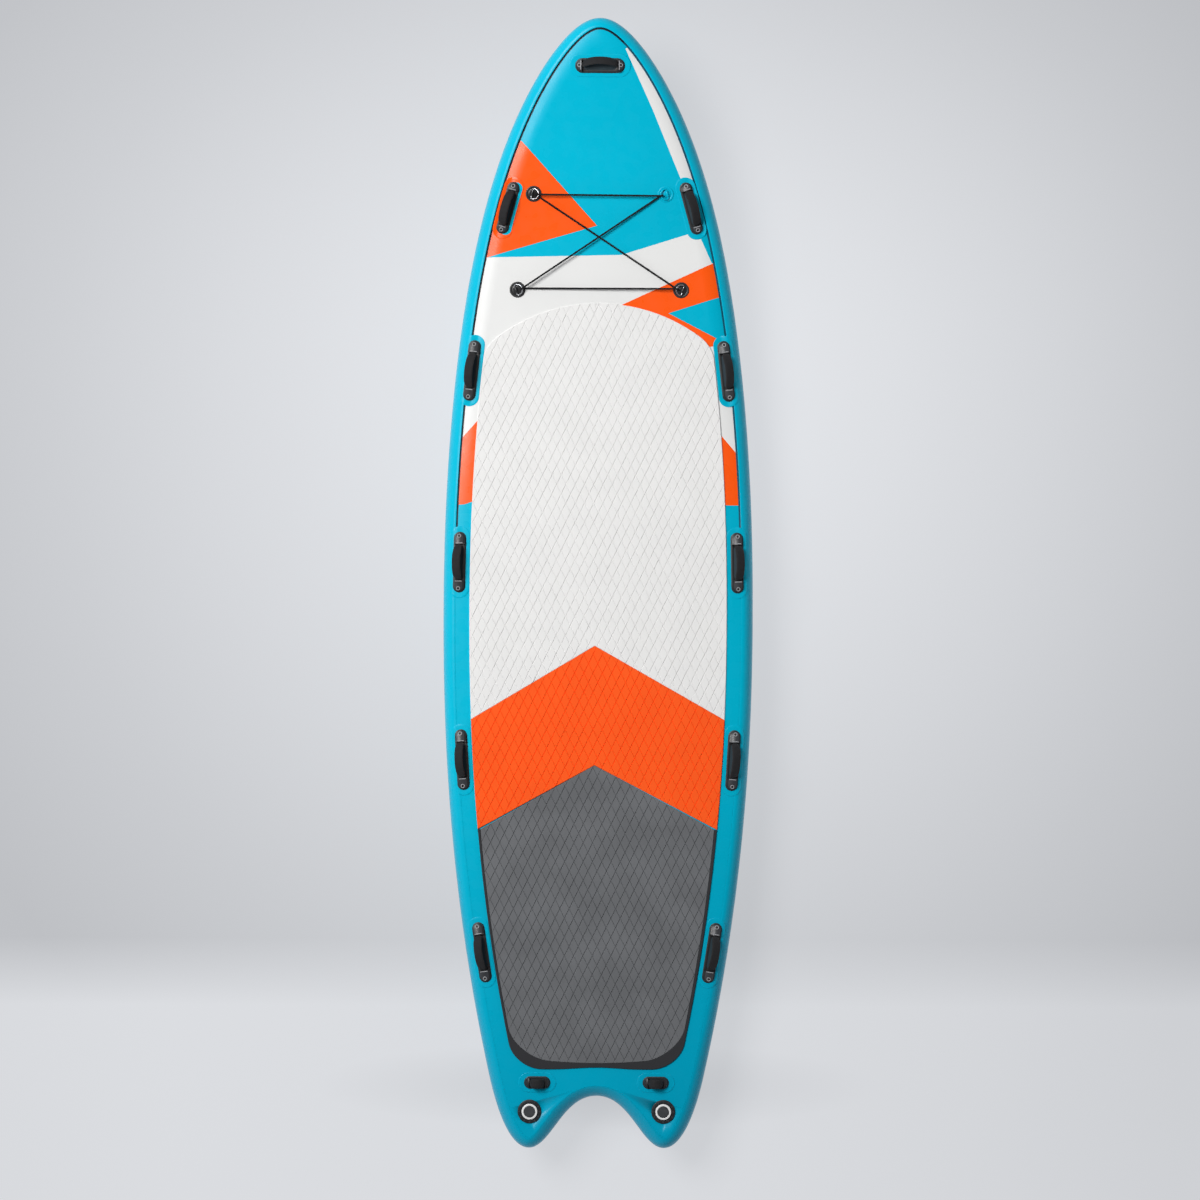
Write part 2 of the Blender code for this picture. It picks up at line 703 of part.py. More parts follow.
def end_pad_shape(length, width, grip_half, floor, end):
    """The raised end of a handle base: level over the pin, then falling to the tip."""
    start = grip_half + ELBOW_REACH
    level = start + PIN_LENGTH + PIN_WALL
    last = length / 2 - END_PAD_RIM
    half = width / 2 - END_PAD_RIM
    tip = [p for p in stadium(2 * last, 2 * half) if p[0] > start + GAP]
    bm = bmesh.new()
    low = floor + BASE_PLATE - END_PAD_SINK
    high = floor + BASE_PLATE + HINGE_HEIGHT + PIN_RADIUS + PIN_WALL
    bm.faces.new([bm.verts.new((x, y, low)) for x, y in [(start, half)] + tip + [(start, -half)]])
    bmesh.ops.bisect_plane(
        bm, geom=bm.verts[:] + bm.edges[:] + bm.faces[:],
        plane_co=(level, 0, 0), plane_no=(1, 0, 0), dist=CUT_TOLERANCE,
    )
    made = bmesh.ops.extrude_face_region(bm, geom=bm.faces[:], use_keep_orig=True)
    for v in made["geom"]:
        if isinstance(v, bmesh.types.BMVert):
            share = max(0.0, (v.co.x - level) / (last - level))
            v.co.z = high + (floor + BASE_PLATE + END_PAD_TIP - high) * share
    if end < 0:
        moved(bm, Matrix.Rotation(math.pi, 4, "Z"))
    return bm


def grip_shape(grip_half, height, width):
    """A flat padded arch whose two ends turn outwards into round pins on the hinge axis."""
    flat_turn = math.pi / GRIP_SIDES
    pin = PIN_RADIUS * math.cos(flat_turn)
    path = [
        (-grip_half - ELBOW_REACH - PIN_LENGTH, 0.0, pin, pin, 1.0),
        (-grip_half - ELBOW_REACH / 2, 0.0, pin, pin, 1.0),
        (-grip_half, height * ELBOW_RISE, ELBOW_RADIUS, ELBOW_RADIUS, 1.0),
    ]
    first = math.radians(GRIP_FIRST_DEG)
    for i in range(GRIP_STEPS):
        turn = math.pi - first - (math.pi - 2 * first) * i / (GRIP_STEPS - 1)
        x = grip_half * math.copysign(abs(math.cos(turn)) ** (2 / GRIP_SQUARENESS), math.cos(turn))
        rise = math.sin(turn) ** (2 / GRIP_SQUARENESS)
        share = (rise - GRIP_SPREAD_FROM) / GRIP_SPREAD_RUN
        spread = min(1.0, GRIP_END_WIDTH + (1 - GRIP_END_WIDTH) * share)
        path.append((x, height * rise, width / 2 * spread, GRIP_THICKNESS / 2, GRIP_FLATNESS))
    path += [(-x, z, w, t, flat) for x, z, w, t, flat in reversed(path[:3])]
    rings = []
    for i, (x, z, half, thick, flat) in enumerate(path):
        before = path[max(0, i - 1)]
        after = path[min(len(path) - 1, i + 1)]
        along = Vector((after[0] - before[0], after[1] - before[1])).normalized()
        ring = []
        for k in range(GRIP_SIDES):
            turn = flat_turn * (1 + 2 * k)
            wide = (abs(math.cos(turn)) / math.cos(flat_turn)) ** flat
            across = math.copysign(half * wide, math.cos(turn))
            lift = thick * math.sin(turn) / math.cos(flat_turn)
            ring.append((x - along.y * lift, across, z + along.x * lift))
        rings.append(ring)
    return lofted(rings)


def handle_frame(place, lean_deg):
    """The hinge of a grip: above the base, and leaning as the grip rests."""
    lift = Matrix.Translation((0, 0, BASE_PLATE + PATCH_THICKNESS - BASE_SINK + HINGE_HEIGHT))
    return place @ lift @ Matrix.Rotation(math.radians(-lean_deg), 4, "X")


def add_handle(name, place, patch, length, width, grip_half, grip_height, grip_width, lean_deg):
    """A base welded on its patch, and the grip that swings on it."""
    base = add_object(f"handle_base_{name}", patch, RUBBER_BLACK)
    floor = PATCH_THICKNESS - BASE_SINK
    apply_shape(base, handle_base_shape(length, width, grip_half, floor), "UNION", place)
    start = grip_half + ELBOW_REACH
    axis_z = floor + BASE_PLATE + HINGE_HEIGHT
    for end in (1, -1):
        apply_shape(base, end_pad_shape(length, width, grip_half, floor, end), "UNION", place)
        x0, x1 = sorted((end * (start - PIN_BORE_OVERRUN), end * (start + PIN_LENGTH + PIN_BORE_OVERRUN)))
        bore = cylinder_x(PIN_RADIUS + GAP, x0, x1, GRIP_SIDES, axis_z)
        apply_shape(base, bore, "DIFFERENCE", place)
    grip = grip_shape(grip_half, grip_height, grip_width)
    add_object(f"handle_grip_{name}", grip, RUBBER_BLACK, handle_frame(place, lean_deg), SMOOTH_GRIP_DEG)


def arc_lengths():
    """Distance from the nose tip to each starboard corner of the outline."""
    total = [0.0]
    starboard = OUTLINE[: len(starboard_outline())]
    for a, b in zip(starboard, starboard[1:]):
        total.append(total[-1] + math.dist(a, b))
    return starboard, np.array(total)


STARBOARD, ARC = arc_lengths()


def on_hull(along, inset, lift):
    """The point this far round the outline from the nose tip, this far inside it, above the hull."""
    i = min(int(np.searchsorted(ARC, along, side="right")) - 1, len(ARC) - 2)
    share = (along - ARC[i]) / (ARC[i + 1] - ARC[i])
    cosine = max(0.0, 1 - inset / RAIL_REACH)
    normal = Vector((cosine / RAIL_REACH, math.sqrt(1 - cosine * cosine) / (THICKNESS / 2))).normalized()
    ends = []
    for (x, y), step in ((STARBOARD[i], OFFSETS[i]), (STARBOARD[i + 1], OFFSETS[i + 1])):
        px, py = x + step.x * inset, y + step.y * inset
        z = BOTTOM_Z + top_of_rail(inset) + bend(py)
        out = normal.x * lift
        ends.append(Vector((px - step.x * out, py - step.y * out, z + normal.y * lift)))
    return ends[0].lerp(ends[1], share)


def along_at(y, inset):
    """Distance round the outline to where a starboard point this far inside it is at y."""
    last = TAIL_Y + TAIL_CORNER_LENGTH / 2
    ys = [p[1] + OFFSETS[i].y * inset for i, p in enumerate(STARBOARD) if p[1] > last]
    return float(np.interp(-y, [-v for v in ys], ARC[: len(ys)]))


def rail_patch(y, inset, length, width, side):
    """A thin oval of hull fabric bent over the shoulder of the board."""
    bm = bmesh.new()
    loop = stadium(length + 2 * PATCH_END_MARGIN, width + 2 * PATCH_SIDE_MARGIN, PATCH_END_STEPS)
    bm.faces.new([bm.verts.new((a, b, 0)) for a, b in loop])
    centre = along_at(y, inset)
    cuts = [(s - centre, 0) for s in ARC if abs(s - centre) < length / 2 + PATCH_END_MARGIN]
    cuts += [(d - inset, 1) for d, _ in RAIL_OUTER if abs(d - inset) < width / 2 + PATCH_SIDE_MARGIN]
    for at, axis in cuts:
        bmesh.ops.bisect_plane(
            bm, geom=bm.verts[:] + bm.edges[:] + bm.faces[:],
            plane_co=(at, at, 0), plane_no=(1 - axis, axis, 0), dist=CUT_TOLERANCE,
        )
    made = bmesh.ops.extrude_face_region(bm, geom=bm.faces[:], use_keep_orig=True)
    raised = {v for v in made["geom"] if isinstance(v, bmesh.types.BMVert)}
    for v in bm.verts:
        lift = GAP + (PATCH_THICKNESS if v in raised else 0.0)
        p = on_hull(centre + v.co.x, inset + v.co.y, lift)
        v.co = (side * p.x, p.y, p.z)
    return bm


def add_side_handles():
    for i, y in enumerate(SIDE_HANDLE_Y):
        length = MEDIUM_BASE_LENGTH if i == 0 else LONG_BASE_LENGTH
        inset = FRONT_HANDLE_INSET if i == 0 else SIDE_HANDLE_INSET
        centre = along_at(y, inset)
        fore = on_hull(centre - length / 4, inset, 0)
        aft = on_hull(centre + length / 4, inset, 0)
        x, place_y = (fore.x + aft.x) / 2, (fore.y + aft.y) / 2
        fall = math.degrees(math.atan2(fore.y - aft.y, aft.x - fore.x))
        for side, label, heading in ((1, "right", -fall), (-1, "left", fall)):
            place = deck_frame(side * x, place_y, heading, length / 2, BASE_WIDTH / 2)
            patch = rail_patch(y, inset, length, BASE_WIDTH, side)
            add_handle(f"{label}_{i + 1}", place, patch, length, BASE_WIDTH,
                       LONG_GRIP_HALF, LONG_GRIP_HEIGHT, LONG_GRIP_WIDTH, SIDE_LEAN_DEG)


def flat_patch(x, y, length, width):
    loop = stadium(length + 2 * PATCH_END_MARGIN, width + 2 * PATCH_SIDE_MARGIN, PATCH_END_STEPS)
    return hull_sheet([(x + a, y + b) for a, b in loop], DECK_TOP, DECK_TOP + PATCH_THICKNESS)


def add_end_handles():
    y = NOSE_Y - NOSE_HANDLE_FROM_TIP
    place = deck_frame(0.0, y, 0.0, NOSE_BASE_LENGTH / 2, NOSE_BASE_WIDTH / 2)
    patch = flat_patch(0.0, y, NOSE_BASE_LENGTH, NOSE_BASE_WIDTH)
    add_handle("nose", place, patch, NOSE_BASE_LENGTH, NOSE_BASE_WIDTH,
               LONG_GRIP_HALF, LONG_GRIP_HEIGHT, LONG_GRIP_WIDTH, NOSE_LEAN_DEG)
    y = TAIL_Y + TAIL_HANDLE_FROM_TIP
    for side, label in ((1, "tail_right"), (-1, "tail_left")):
        x = side * TAIL_HANDLE_X
        place = deck_frame(x, y, 0.0, SHORT_BASE_LENGTH / 2, BASE_WIDTH / 2)
        patch = flat_patch(x, y, SHORT_BASE_LENGTH, BASE_WIDTH)
        add_handle(label, place, patch, SHORT_BASE_LENGTH, BASE_WIDTH,
                   SHORT_GRIP_HALF, SHORT_GRIP_HEIGHT, SHORT_GRIP_WIDTH, 0.0)


# Lashing rings and the cord

def tube(path, radius, sides, closed=False):
    """A round bar along a path, its section carried along without twisting."""
    points = [Vector(p) for p in path]
    count = len(points)
    tangents = []
    for i in range(count):
        before = points[i - 1] if closed or i > 0 else points[i]
        after = points[(i + 1) % count] if closed or i < count - 1 else points[i]
        tangents.append((after - before).normalized())
    side = tangents[0].orthogonal().normalized()
    rings = []
    for point, tangent in zip(points, tangents):
        side = (side - tangent * side.dot(tangent)).normalized()
        other = tangent.cross(side)
        turns = [2 * math.pi * k / sides for k in range(sides)]
        rings.append([point + (side * math.cos(t) + other * math.sin(t)) * radius for t in turns])
    return lofted(rings, closed)


def ring_shape():
    """A D-ring lying along +X from its straight bar on the Y axis."""
    path = [(0.0, -RING_HALF_BAR, 0.0), (0.0, RING_HALF_BAR, 0.0)]
    for i in range(RING_STEPS + 1):
        turn = math.pi / 2 - math.pi * i / RING_STEPS
        x = RING_CORNER + (RING_REACH - RING_CORNER) * math.cos(turn)
        y = (RING_HALF_BAR + RING_CORNER) * math.sin(turn)
        path.append((x, y, 0.0))
    return tube(path, RING_WIRE_RADIUS, RING_SIDES, closed=True)


BAR_HEIGHT = RING_PATCH_THICKNESS + RING_WIRE_RADIUS + GAP + KEEPER_WALL / 2
RING_TILT = math.asin((RING_APEX_HEIGHT - BAR_HEIGHT) / RING_REACH)


def ring_places():
    """The name, place and heading of each lashing ring."""
    front_y, rear_y = NOSE_Y - FRONT_RING_FROM_NOSE, NOSE_Y - REAR_RING_FROM_NOSE
    front_x, rear_x = half_width(front_y) - FRONT_RING_INSET, half_width(rear_y) - REAR_RING_INSET
    diagonal = math.degrees(math.atan2(front_y - rear_y, front_x + rear_x))
    found = {}
    for name, x, y, heading in (
        ("front_left", -front_x, front_y, -diagonal / 2),
        ("front_right", front_x, front_y, 180 + diagonal / 2),
        ("rear_left", -rear_x, rear_y, diagonal / 2),
        ("rear_right", rear_x, rear_y, 180 - diagonal / 2),
    ):
        found[name] = deck_frame(x, y, heading, RING_PATCH_RADIUS, RING_PATCH_RADIUS)
    return found


def add_rings():
    for name, place in ring_places().items():
        finish = TEAL if name == "front_right" else RUBBER_BLACK
        rise = RING_PATCH_THICKNESS
        profile = [(0, 0), (RING_PATCH_RADIUS, 0), (RING_PATCH_RADIUS, rise / 2),
                   (RING_PATCH_RADIUS - rise, rise), (0, rise)]
        disc = turned(profile, RING_PATCH_SEGMENTS)
        patch = add_object(f"ring_patch_{name}", disc, finish, place)
        reach = RING_WIRE_RADIUS + GAP + KEEPER_WALL
        foot, crown = KEEPER_FOOT * reach, BAR_HEIGHT + reach * math.sin(math.pi / 3)
        section = ((-foot, rise / 2), (-reach, BAR_HEIGHT), (-reach / 2, crown), (reach / 2, crown),
                   (reach, BAR_HEIGHT), (foot, rise / 2))
        half = KEEPER_WIDTH / 2
        keeper = lofted([[(x - RING_BAR_OFFSET, y, z) for x, z in section] for y in (-half, half)])
        apply_shape(patch, keeper, "UNION", place)
        bar = cylinder_x(RING_WIRE_RADIUS + GAP, -KEEPER_WIDTH, KEEPER_WIDTH, CORD_SIDES)
        hinge = place @ Matrix.Translation((-RING_BAR_OFFSET, 0, BAR_HEIGHT))
        apply_shape(patch, bar, "DIFFERENCE", hinge @ Matrix.Rotation(math.pi / 2, 4, "Z"))
        rest = hinge @ Matrix.Rotation(-RING_TILT, 4, "Y")
        add_object(f"ring_{name}", ring_shape(), STAINLESS, rest, SMOOTH_ROUND_DEG)


def ring_turn(place, first_deg, last_deg, shift=0.0, clearance=CORD_BACK_CLEARANCE):
    """Points of the cord round the far side of a ring, from one height to another."""
    apex = RING_REACH * math.cos(RING_TILT) - RING_BAR_OFFSET
    across = RING_WIRE_RADIUS + CORD_RADIUS + clearance
    rise = RING_WIRE_RADIUS + CORD_RADIUS + CORD_RISE_CLEARANCE
    steps = math.ceil(abs(last_deg - first_deg) / 180 * CORD_TURN_STEPS)
    found = []
    for i in range(steps + 1):
        turn = math.radians(first_deg + (last_deg - first_deg) * i / steps)
        local = (apex + across * math.cos(turn), shift, RING_APEX_HEIGHT + rise * math.sin(turn))
        found.append(place @ Vector(local))
    return found


def cord_path():
    """From the knot at the front left ring round the three others and back to it."""
    at = ring_places()
    half = (KNOT_WIDTH / 2 - CORD_RADIUS) * CORD_END_SPREAD
    start = ring_turn(at["front_left"], 180, 90, half, KNOT_BACK_CLEARANCE)
    front_right = ring_turn(at["front_right"], 90, 270)
    rear_left = ring_turn(at["rear_left"], 90, 270)
    rear_right = ring_turn(at["rear_right"], 90, 270)
    end = ring_turn(at["front_left"], 270, 180, -half, KNOT_BACK_CLEARANCE)
    a, b = front_right[-1], rear_left[0]
    c, d = rear_right[-1], end[0]
    share = a.x / (a.x - b.x)
    under = c.lerp(d, c.x / (c.x - d.x))
    over = a.lerp(b, share)
    over.z = max(over.z, under.z + 2 * CORD_RADIUS + GAP)
    return start + front_right + [over] + rear_left + rear_right + end


def add_cord():
    line = tube(cord_path(), CORD_RADIUS, CORD_SIDES)
    cord = add_object("bungee_cord", line, RUBBER_BLACK, smooth_deg=SMOOTH_ROUND_DEG)
    place = ring_places()["front_left"]
    reach = RING_REACH * math.cos(RING_TILT) - RING_BAR_OFFSET
    back = reach - RING_WIRE_RADIUS - GAP - KNOT_LENGTH / 2
    knot = bmesh.new()
    bmesh.ops.create_uvsphere(knot, u_segments=KNOT_SEGMENTS, v_segments=KNOT_LEVELS, radius=0.5)
    shape = Matrix.Diagonal((KNOT_LENGTH, KNOT_WIDTH, KNOT_HEIGHT, 1.0))
    moved(knot, Matrix.Translation((back, 0, RING_APEX_HEIGHT)) @ shape)
    apply_shape(cord, knot, "UNION", place)


# Valves

def valve_place(side):
    return Matrix.Translation((side * VALVE_X, TAIL_Y + VALVE_FROM_TAIL, DECK_TOP))


FLOOR_TOP = BARREL_FLOOR - BARREL_DEPTH
COLLAR_BASE = FLANGE_HEIGHT + GAP
COLLAR_TOP = COLLAR_BASE + COLLAR_HEIGHT
LEDGE_TOP = COLLAR_BASE + COLLAR_LEDGE
CAP_RADIUS = COLLAR_MOUTH - CAP_CLEARANCE
CAP_TOP = LEDGE_TOP + GAP + CAP_THICKNESS


def add_valve_body(name, place):
    """A flange on the deck and a barrel through it, with a spider that guides the poppet's stem."""
    chamfered = FLANGE_RADIUS - FLANGE_CHAMFER
    shell = turned([
        (BARREL_BORE, FLANGE_HEIGHT), (chamfered, FLANGE_HEIGHT),
        (FLANGE_RADIUS, FLANGE_HEIGHT - FLANGE_CHAMFER), (FLANGE_RADIUS, 0), (BARREL_RADIUS, 0),
        (BARREL_RADIUS, -BARREL_DEPTH), (SEAT_RADIUS, -BARREL_DEPTH), (SEAT_RADIUS, FLOOR_TOP),
        (BARREL_BORE, FLOOR_TOP),
    ], VALVE_SEGMENTS)
    body = add_object(f"valve_body_{name}", shell, VALVE_GREY, place)
    for i in range(FLANGE_LUGS):
        turn = Matrix.Rotation(2 * math.pi * i / FLANGE_LUGS, 4, "Z")
        lug = box(LUG_CIRCLE - LUG_LENGTH / 2, LUG_CIRCLE + LUG_LENGTH / 2,
                  -LUG_WIDTH / 2, LUG_WIDTH / 2, FLANGE_HEIGHT / 2, FLANGE_HEIGHT + LUG_HEIGHT)
        apply_shape(body, moved(lug, turn), "UNION", place)
    hub = prism(circle(HUB_RADIUS, STEM_SEGMENTS), -BARREL_DEPTH, FLOOR_TOP)
    apply_shape(body, hub, "UNION", place)
    for i in range(SPIDER_ARMS):
        turn = Matrix.Rotation(2 * math.pi * (i + 0.5) / SPIDER_ARMS, 4, "Z")
        arm = box(HUB_RADIUS / 2, (SEAT_RADIUS + BARREL_BORE) / 2,
                  -SPIDER_ARM_WIDTH / 2, SPIDER_ARM_WIDTH / 2, -BARREL_DEPTH + GAP, FLOOR_TOP - GAP)
        apply_shape(body, moved(arm, turn), "UNION", place)
    bore = prism(circle(STEM_RADIUS + GAP, STEM_SEGMENTS), -2 * BARREL_DEPTH, FLANGE_HEIGHT)
    apply_shape(body, bore, "DIFFERENCE", place)


def add_valves():
    for side, name in ((1, "right"), (-1, "left")):
        place = valve_place(side)
        add_valve_body(name, place)
        under = -2 * GAP - SKIN - GAP - CORE_SHEET - GAP
        inner = BARREL_RADIUS + GAP
        ring = turned([(inner, under), (CLAMP_RADIUS, under), (CLAMP_RADIUS, under - CLAMP_HEIGHT),
                       (inner, under - CLAMP_HEIGHT)], VALVE_SEGMENTS)
        add_object(f"valve_clamp_{name}", ring, VALVE_GREY, place)
        sleeve = BARREL_BORE - GAP
        collar = turned([
            (COLLAR_RADIUS, COLLAR_BASE), (COLLAR_RADIUS, COLLAR_TOP - FLANGE_CHAMFER),
            (COLLAR_RADIUS - FLANGE_CHAMFER, COLLAR_TOP), (COLLAR_MOUTH, COLLAR_TOP),
            (COLLAR_MOUTH, LEDGE_TOP), (COLLAR_SLEEVE_BORE, LEDGE_TOP),
            (COLLAR_SLEEVE_BORE, -COLLAR_SLEEVE_DEPTH), (sleeve, -COLLAR_SLEEVE_DEPTH),
            (sleeve, COLLAR_BASE),
        ], VALVE_SEGMENTS)
        add_object(f"valve_collar_{name}", collar, VALVE_WHITE, place)
        plug = COLLAR_SLEEVE_BORE - CAP_CLEARANCE
        low = LEDGE_TOP + GAP
        cap = turned([
            (0, CAP_TOP), (CAP_RADIUS - FLANGE_CHAMFER, CAP_TOP), (CAP_RADIUS, CAP_TOP - FLANGE_CHAMFER),
            (CAP_RADIUS, low), (plug, low), (plug - GAP, low - CAP_PLUG_DEPTH),
            (plug - CAP_PLUG_WALL, low - CAP_PLUG_DEPTH), (plug - CAP_PLUG_WALL, low), (0, low),
        ], VALVE_SEGMENTS)
        hinge = Matrix.Translation((0, CAP_RADIUS + CAP_CLEARANCE / 2, CAP_TOP))
        add_object(f"valve_cap_{name}", moved(cap, hinge.inverted()), VALVE_GREY, place @ hinge)
        low = -BARREL_DEPTH - GAP
        poppet = turned([
            (0, BUTTON_TOP), (BUTTON_RADIUS, BUTTON_TOP), (BUTTON_RADIUS, BUTTON_TOP - BUTTON_HEIGHT),
            (STEM_RADIUS, BUTTON_TOP - BUTTON_HEIGHT), (STEM_RADIUS, low), (POPPET_RADIUS, low),
            (POPPET_RADIUS, low - POPPET_HEIGHT), (0, low - POPPET_HEIGHT),
        ], POPPET_SEGMENTS)
        add_object(f"valve_poppet_{name}", poppet, VALVE_WHITE, place)
        foot = FLOOR_TOP + GAP + SPRING_WIRE_RADIUS
        head = BUTTON_TOP - BUTTON_HEIGHT - GAP - SPRING_WIRE_RADIUS
        steps = SPRING_TURNS * SPRING_STEPS
        path = []
        for i in range(steps + 1):
            turn = 2 * math.pi * i / SPRING_STEPS
            climb = min(1.0, max(0.0, (i - SPRING_STEPS / 2) / (steps - SPRING_STEPS)))
            path.append((SPRING_RADIUS * math.cos(turn), SPRING_RADIUS * math.sin(turn),
                         foot + (head - foot) * climb))
        spring = tube(path, SPRING_WIRE_RADIUS, SPRING_SIDES)
        add_object(f"valve_spring_{name}", spring, STAINLESS, place, SMOOTH_ROUND_DEG)


# Fins

def blade(base_length, top_z, front_y):
    """A raked fin blade that hangs from top_z to the ground."""
    rings = []
    for i in range(FIN_LEVELS):
        t = i / (FIN_LEVELS - 1)
        z = top_z * (1 - t)
        sweep = (base_length - FIN_TIP_LENGTH) * FIN_TIP_SWEEP * t**FIN_TIP_SWEEP_POWER
        lead = front_y - FIN_RAKE * t**FIN_LEAD_CURVE - sweep
        trail_rake = FIN_RAKE + FIN_TIP_LENGTH - base_length
        trail = front_y - base_length - trail_rake * t**FIN_TRAIL_CURVE - sweep
        half = (FIN_THICKNESS + (FIN_TIP_THICKNESS - FIN_THICKNESS) * t) / 2
        ring = []
        for share, swell in FIN_SECTION:
            ring.append((half * swell, lead + (trail - lead) * share, z))
        ring += [(-x, y, zz) for x, y, zz in reversed(ring[1:])]
        rings.append(ring)
    return lofted(rings)


def keyed_bar(front_y, rear_y, clearance):
    """The T-shaped bar that fills the slot of the fin box, or cuts it."""
    box_floor = BOTTOM_Z - GAP - BOX_HEIGHT
    lip = box_floor + SLOT_LIP
    head, neck = SLOT_HEAD_WIDTH / 2 - clearance, SLOT_NECK_WIDTH / 2 - clearance
    low, top = lip + clearance, lip + SLOT_HEAD_HEIGHT - clearance
    under = box_floor - (0 if clearance else SLOT_LIP)
    section = [(-neck, under), (-neck, low), (-head, low), (-head, top), (head, top), (head, low),
               (neck, low), (neck, under)]
    return lofted([[(x, y, z) for x, z in section] for y in (front_y, rear_y)])


def add_fins():
    top = BOTTOM_Z - GAP
    box_floor = top - BOX_HEIGHT
    middle = TAIL_Y + CENTRE_FIN_FROM_TAIL
    front, rear = middle + BOX_LENGTH / 2, middle - BOX_LENGTH / 2
    length = BOX_LENGTH + 2 * BOX_PATCH_MARGIN
    outline = [(b, middle + a) for a, b in stadium(length, BOX_PATCH_WIDTH)]
    patch = prism(outline, top - FIN_PATCH_THICKNESS, top)
    holder = add_object("fin_box", patch, RUBBER_BLACK)
    half = BOX_WIDTH / 2
    apply_shape(holder, box(-half, half, rear, front, box_floor, top - FIN_PATCH_THICKNESS / 2), "UNION")
    slot_front = front - BOX_END_WALL
    apply_shape(holder, keyed_bar(slot_front, rear - BOX_END_WALL, 0.0), "DIFFERENCE")

    fin_front = slot_front - GAP
    root = fin_front - FIN_BASE_LENGTH
    fin = add_object("fin_centre", blade(FIN_BASE_LENGTH, box_floor + SLOT_LIP, fin_front), FIN_BLACK)
    apply_shape(fin, keyed_bar(fin_front, root, GAP), "UNION")
    plug_rear = rear + PLUG_RECESS
    lock = add_object("fin_lock", keyed_bar(root - GAP, plug_rear, GAP), RUBBER_BLACK)
    neck = SLOT_NECK_WIDTH / 2 - GAP
    tab = box(-neck, neck, plug_rear, plug_rear + PLUG_TAB_LENGTH, box_floor - PLUG_TAB_DEPTH,
              box_floor + SLOT_LIP)
    apply_shape(lock, tab, "UNION")

    middle = TAIL_Y + SIDE_FIN_FROM_TAIL
    for side, name in ((1, "right"), (-1, "left")):
        x = side * SIDE_FIN_X
        length = FIN_BASE_LENGTH + BOX_PATCH_MARGIN
        outline = [(x + b, middle + a) for a, b in stadium(length, SIDE_FIN_PATCH_WIDTH)]
        fin = add_object(f"fin_side_{name}", prism(outline, top - FIN_PATCH_THICKNESS, top), FIN_BLACK)
        shape = blade(FIN_BASE_LENGTH, top - FIN_PATCH_THICKNESS / 2, middle + FIN_BASE_LENGTH / 2)
        apply_shape(fin, moved(shape, Matrix.Translation((x, 0, 0))), "UNION")


clear_scene()
add_rail_band()
add_skins()
add_core()
add_pads()
add_side_handles()
add_end_handles()
add_rings()
add_cord()
add_valves()
add_fins()
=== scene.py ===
import math

import bmesh
import bpy
import numpy as np
from mathutils import Matrix, Vector


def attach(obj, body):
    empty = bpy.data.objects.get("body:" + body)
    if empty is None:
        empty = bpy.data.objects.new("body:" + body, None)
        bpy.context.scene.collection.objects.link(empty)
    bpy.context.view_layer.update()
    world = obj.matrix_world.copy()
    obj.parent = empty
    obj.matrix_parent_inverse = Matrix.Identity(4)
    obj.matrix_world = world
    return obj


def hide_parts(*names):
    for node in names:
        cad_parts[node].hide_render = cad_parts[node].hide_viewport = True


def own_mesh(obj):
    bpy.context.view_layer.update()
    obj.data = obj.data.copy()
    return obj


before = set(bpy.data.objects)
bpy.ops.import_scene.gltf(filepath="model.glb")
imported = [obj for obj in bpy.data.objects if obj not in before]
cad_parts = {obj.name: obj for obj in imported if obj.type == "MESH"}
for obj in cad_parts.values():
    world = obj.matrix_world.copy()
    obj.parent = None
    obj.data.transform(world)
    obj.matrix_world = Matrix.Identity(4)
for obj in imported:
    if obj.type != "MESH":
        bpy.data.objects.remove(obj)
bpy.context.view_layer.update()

# Sizes of the CAD model, in metres
GAP = 0.0003
LENGTH, WIDTH, WIDEST_Y = 4.268, 1.180, -0.100
NOSE_POWER, NOSE_PINCH, NOSE_PINCH_POWER = 2.15, 0.20, 7.6
TAIL_TAPER, TAIL_TAPER_RUN, TAIL_TAPER_POWER = 0.168, 1.700, 2.17
TAIL_TIP_X = 0.4356 * WIDTH / 2
NOTCH_HANDLE = 0.2203 * WIDTH / 2
TAIL_HANDLE_X = 0.3808 * WIDTH / 2
VALVE_X = 0.4297 * WIDTH / 2
SIDE_FIN_X = 0.4576 * WIDTH / 2
TAIL_CORNER_LENGTH, TAIL_CORNER_HANDLE = 0.274, 0.140
TAIL_TIP_OUTER_HANDLE, TAIL_TIP_INNER_HANDLE = 0.072, 0.086
NOTCH_DEPTH = 0.198
THICKNESS, RAIL_REACH, SKIN = 0.150, 0.048, 0.0015
NOSE_RISE, ROCKER_START_Y = 0.220, 0.500
NOSE_Y, TAIL_Y = LENGTH / 2, -LENGTH / 2
FIN_BOX_HEIGHT, FIN_REACH = 0.0200, 0.110
BOTTOM_Z = GAP + FIN_BOX_HEIGHT + FIN_REACH
DECK_Z = BOTTOM_Z + THICKNESS
DECK_TOP = DECK_Z + GAP
SIDES = ((1, "right"), (-1, "left"))

# A rounding, rim or groove lists its points: how far in or at what radius, and how far up or down,
# in metres or as a share of its piece's height

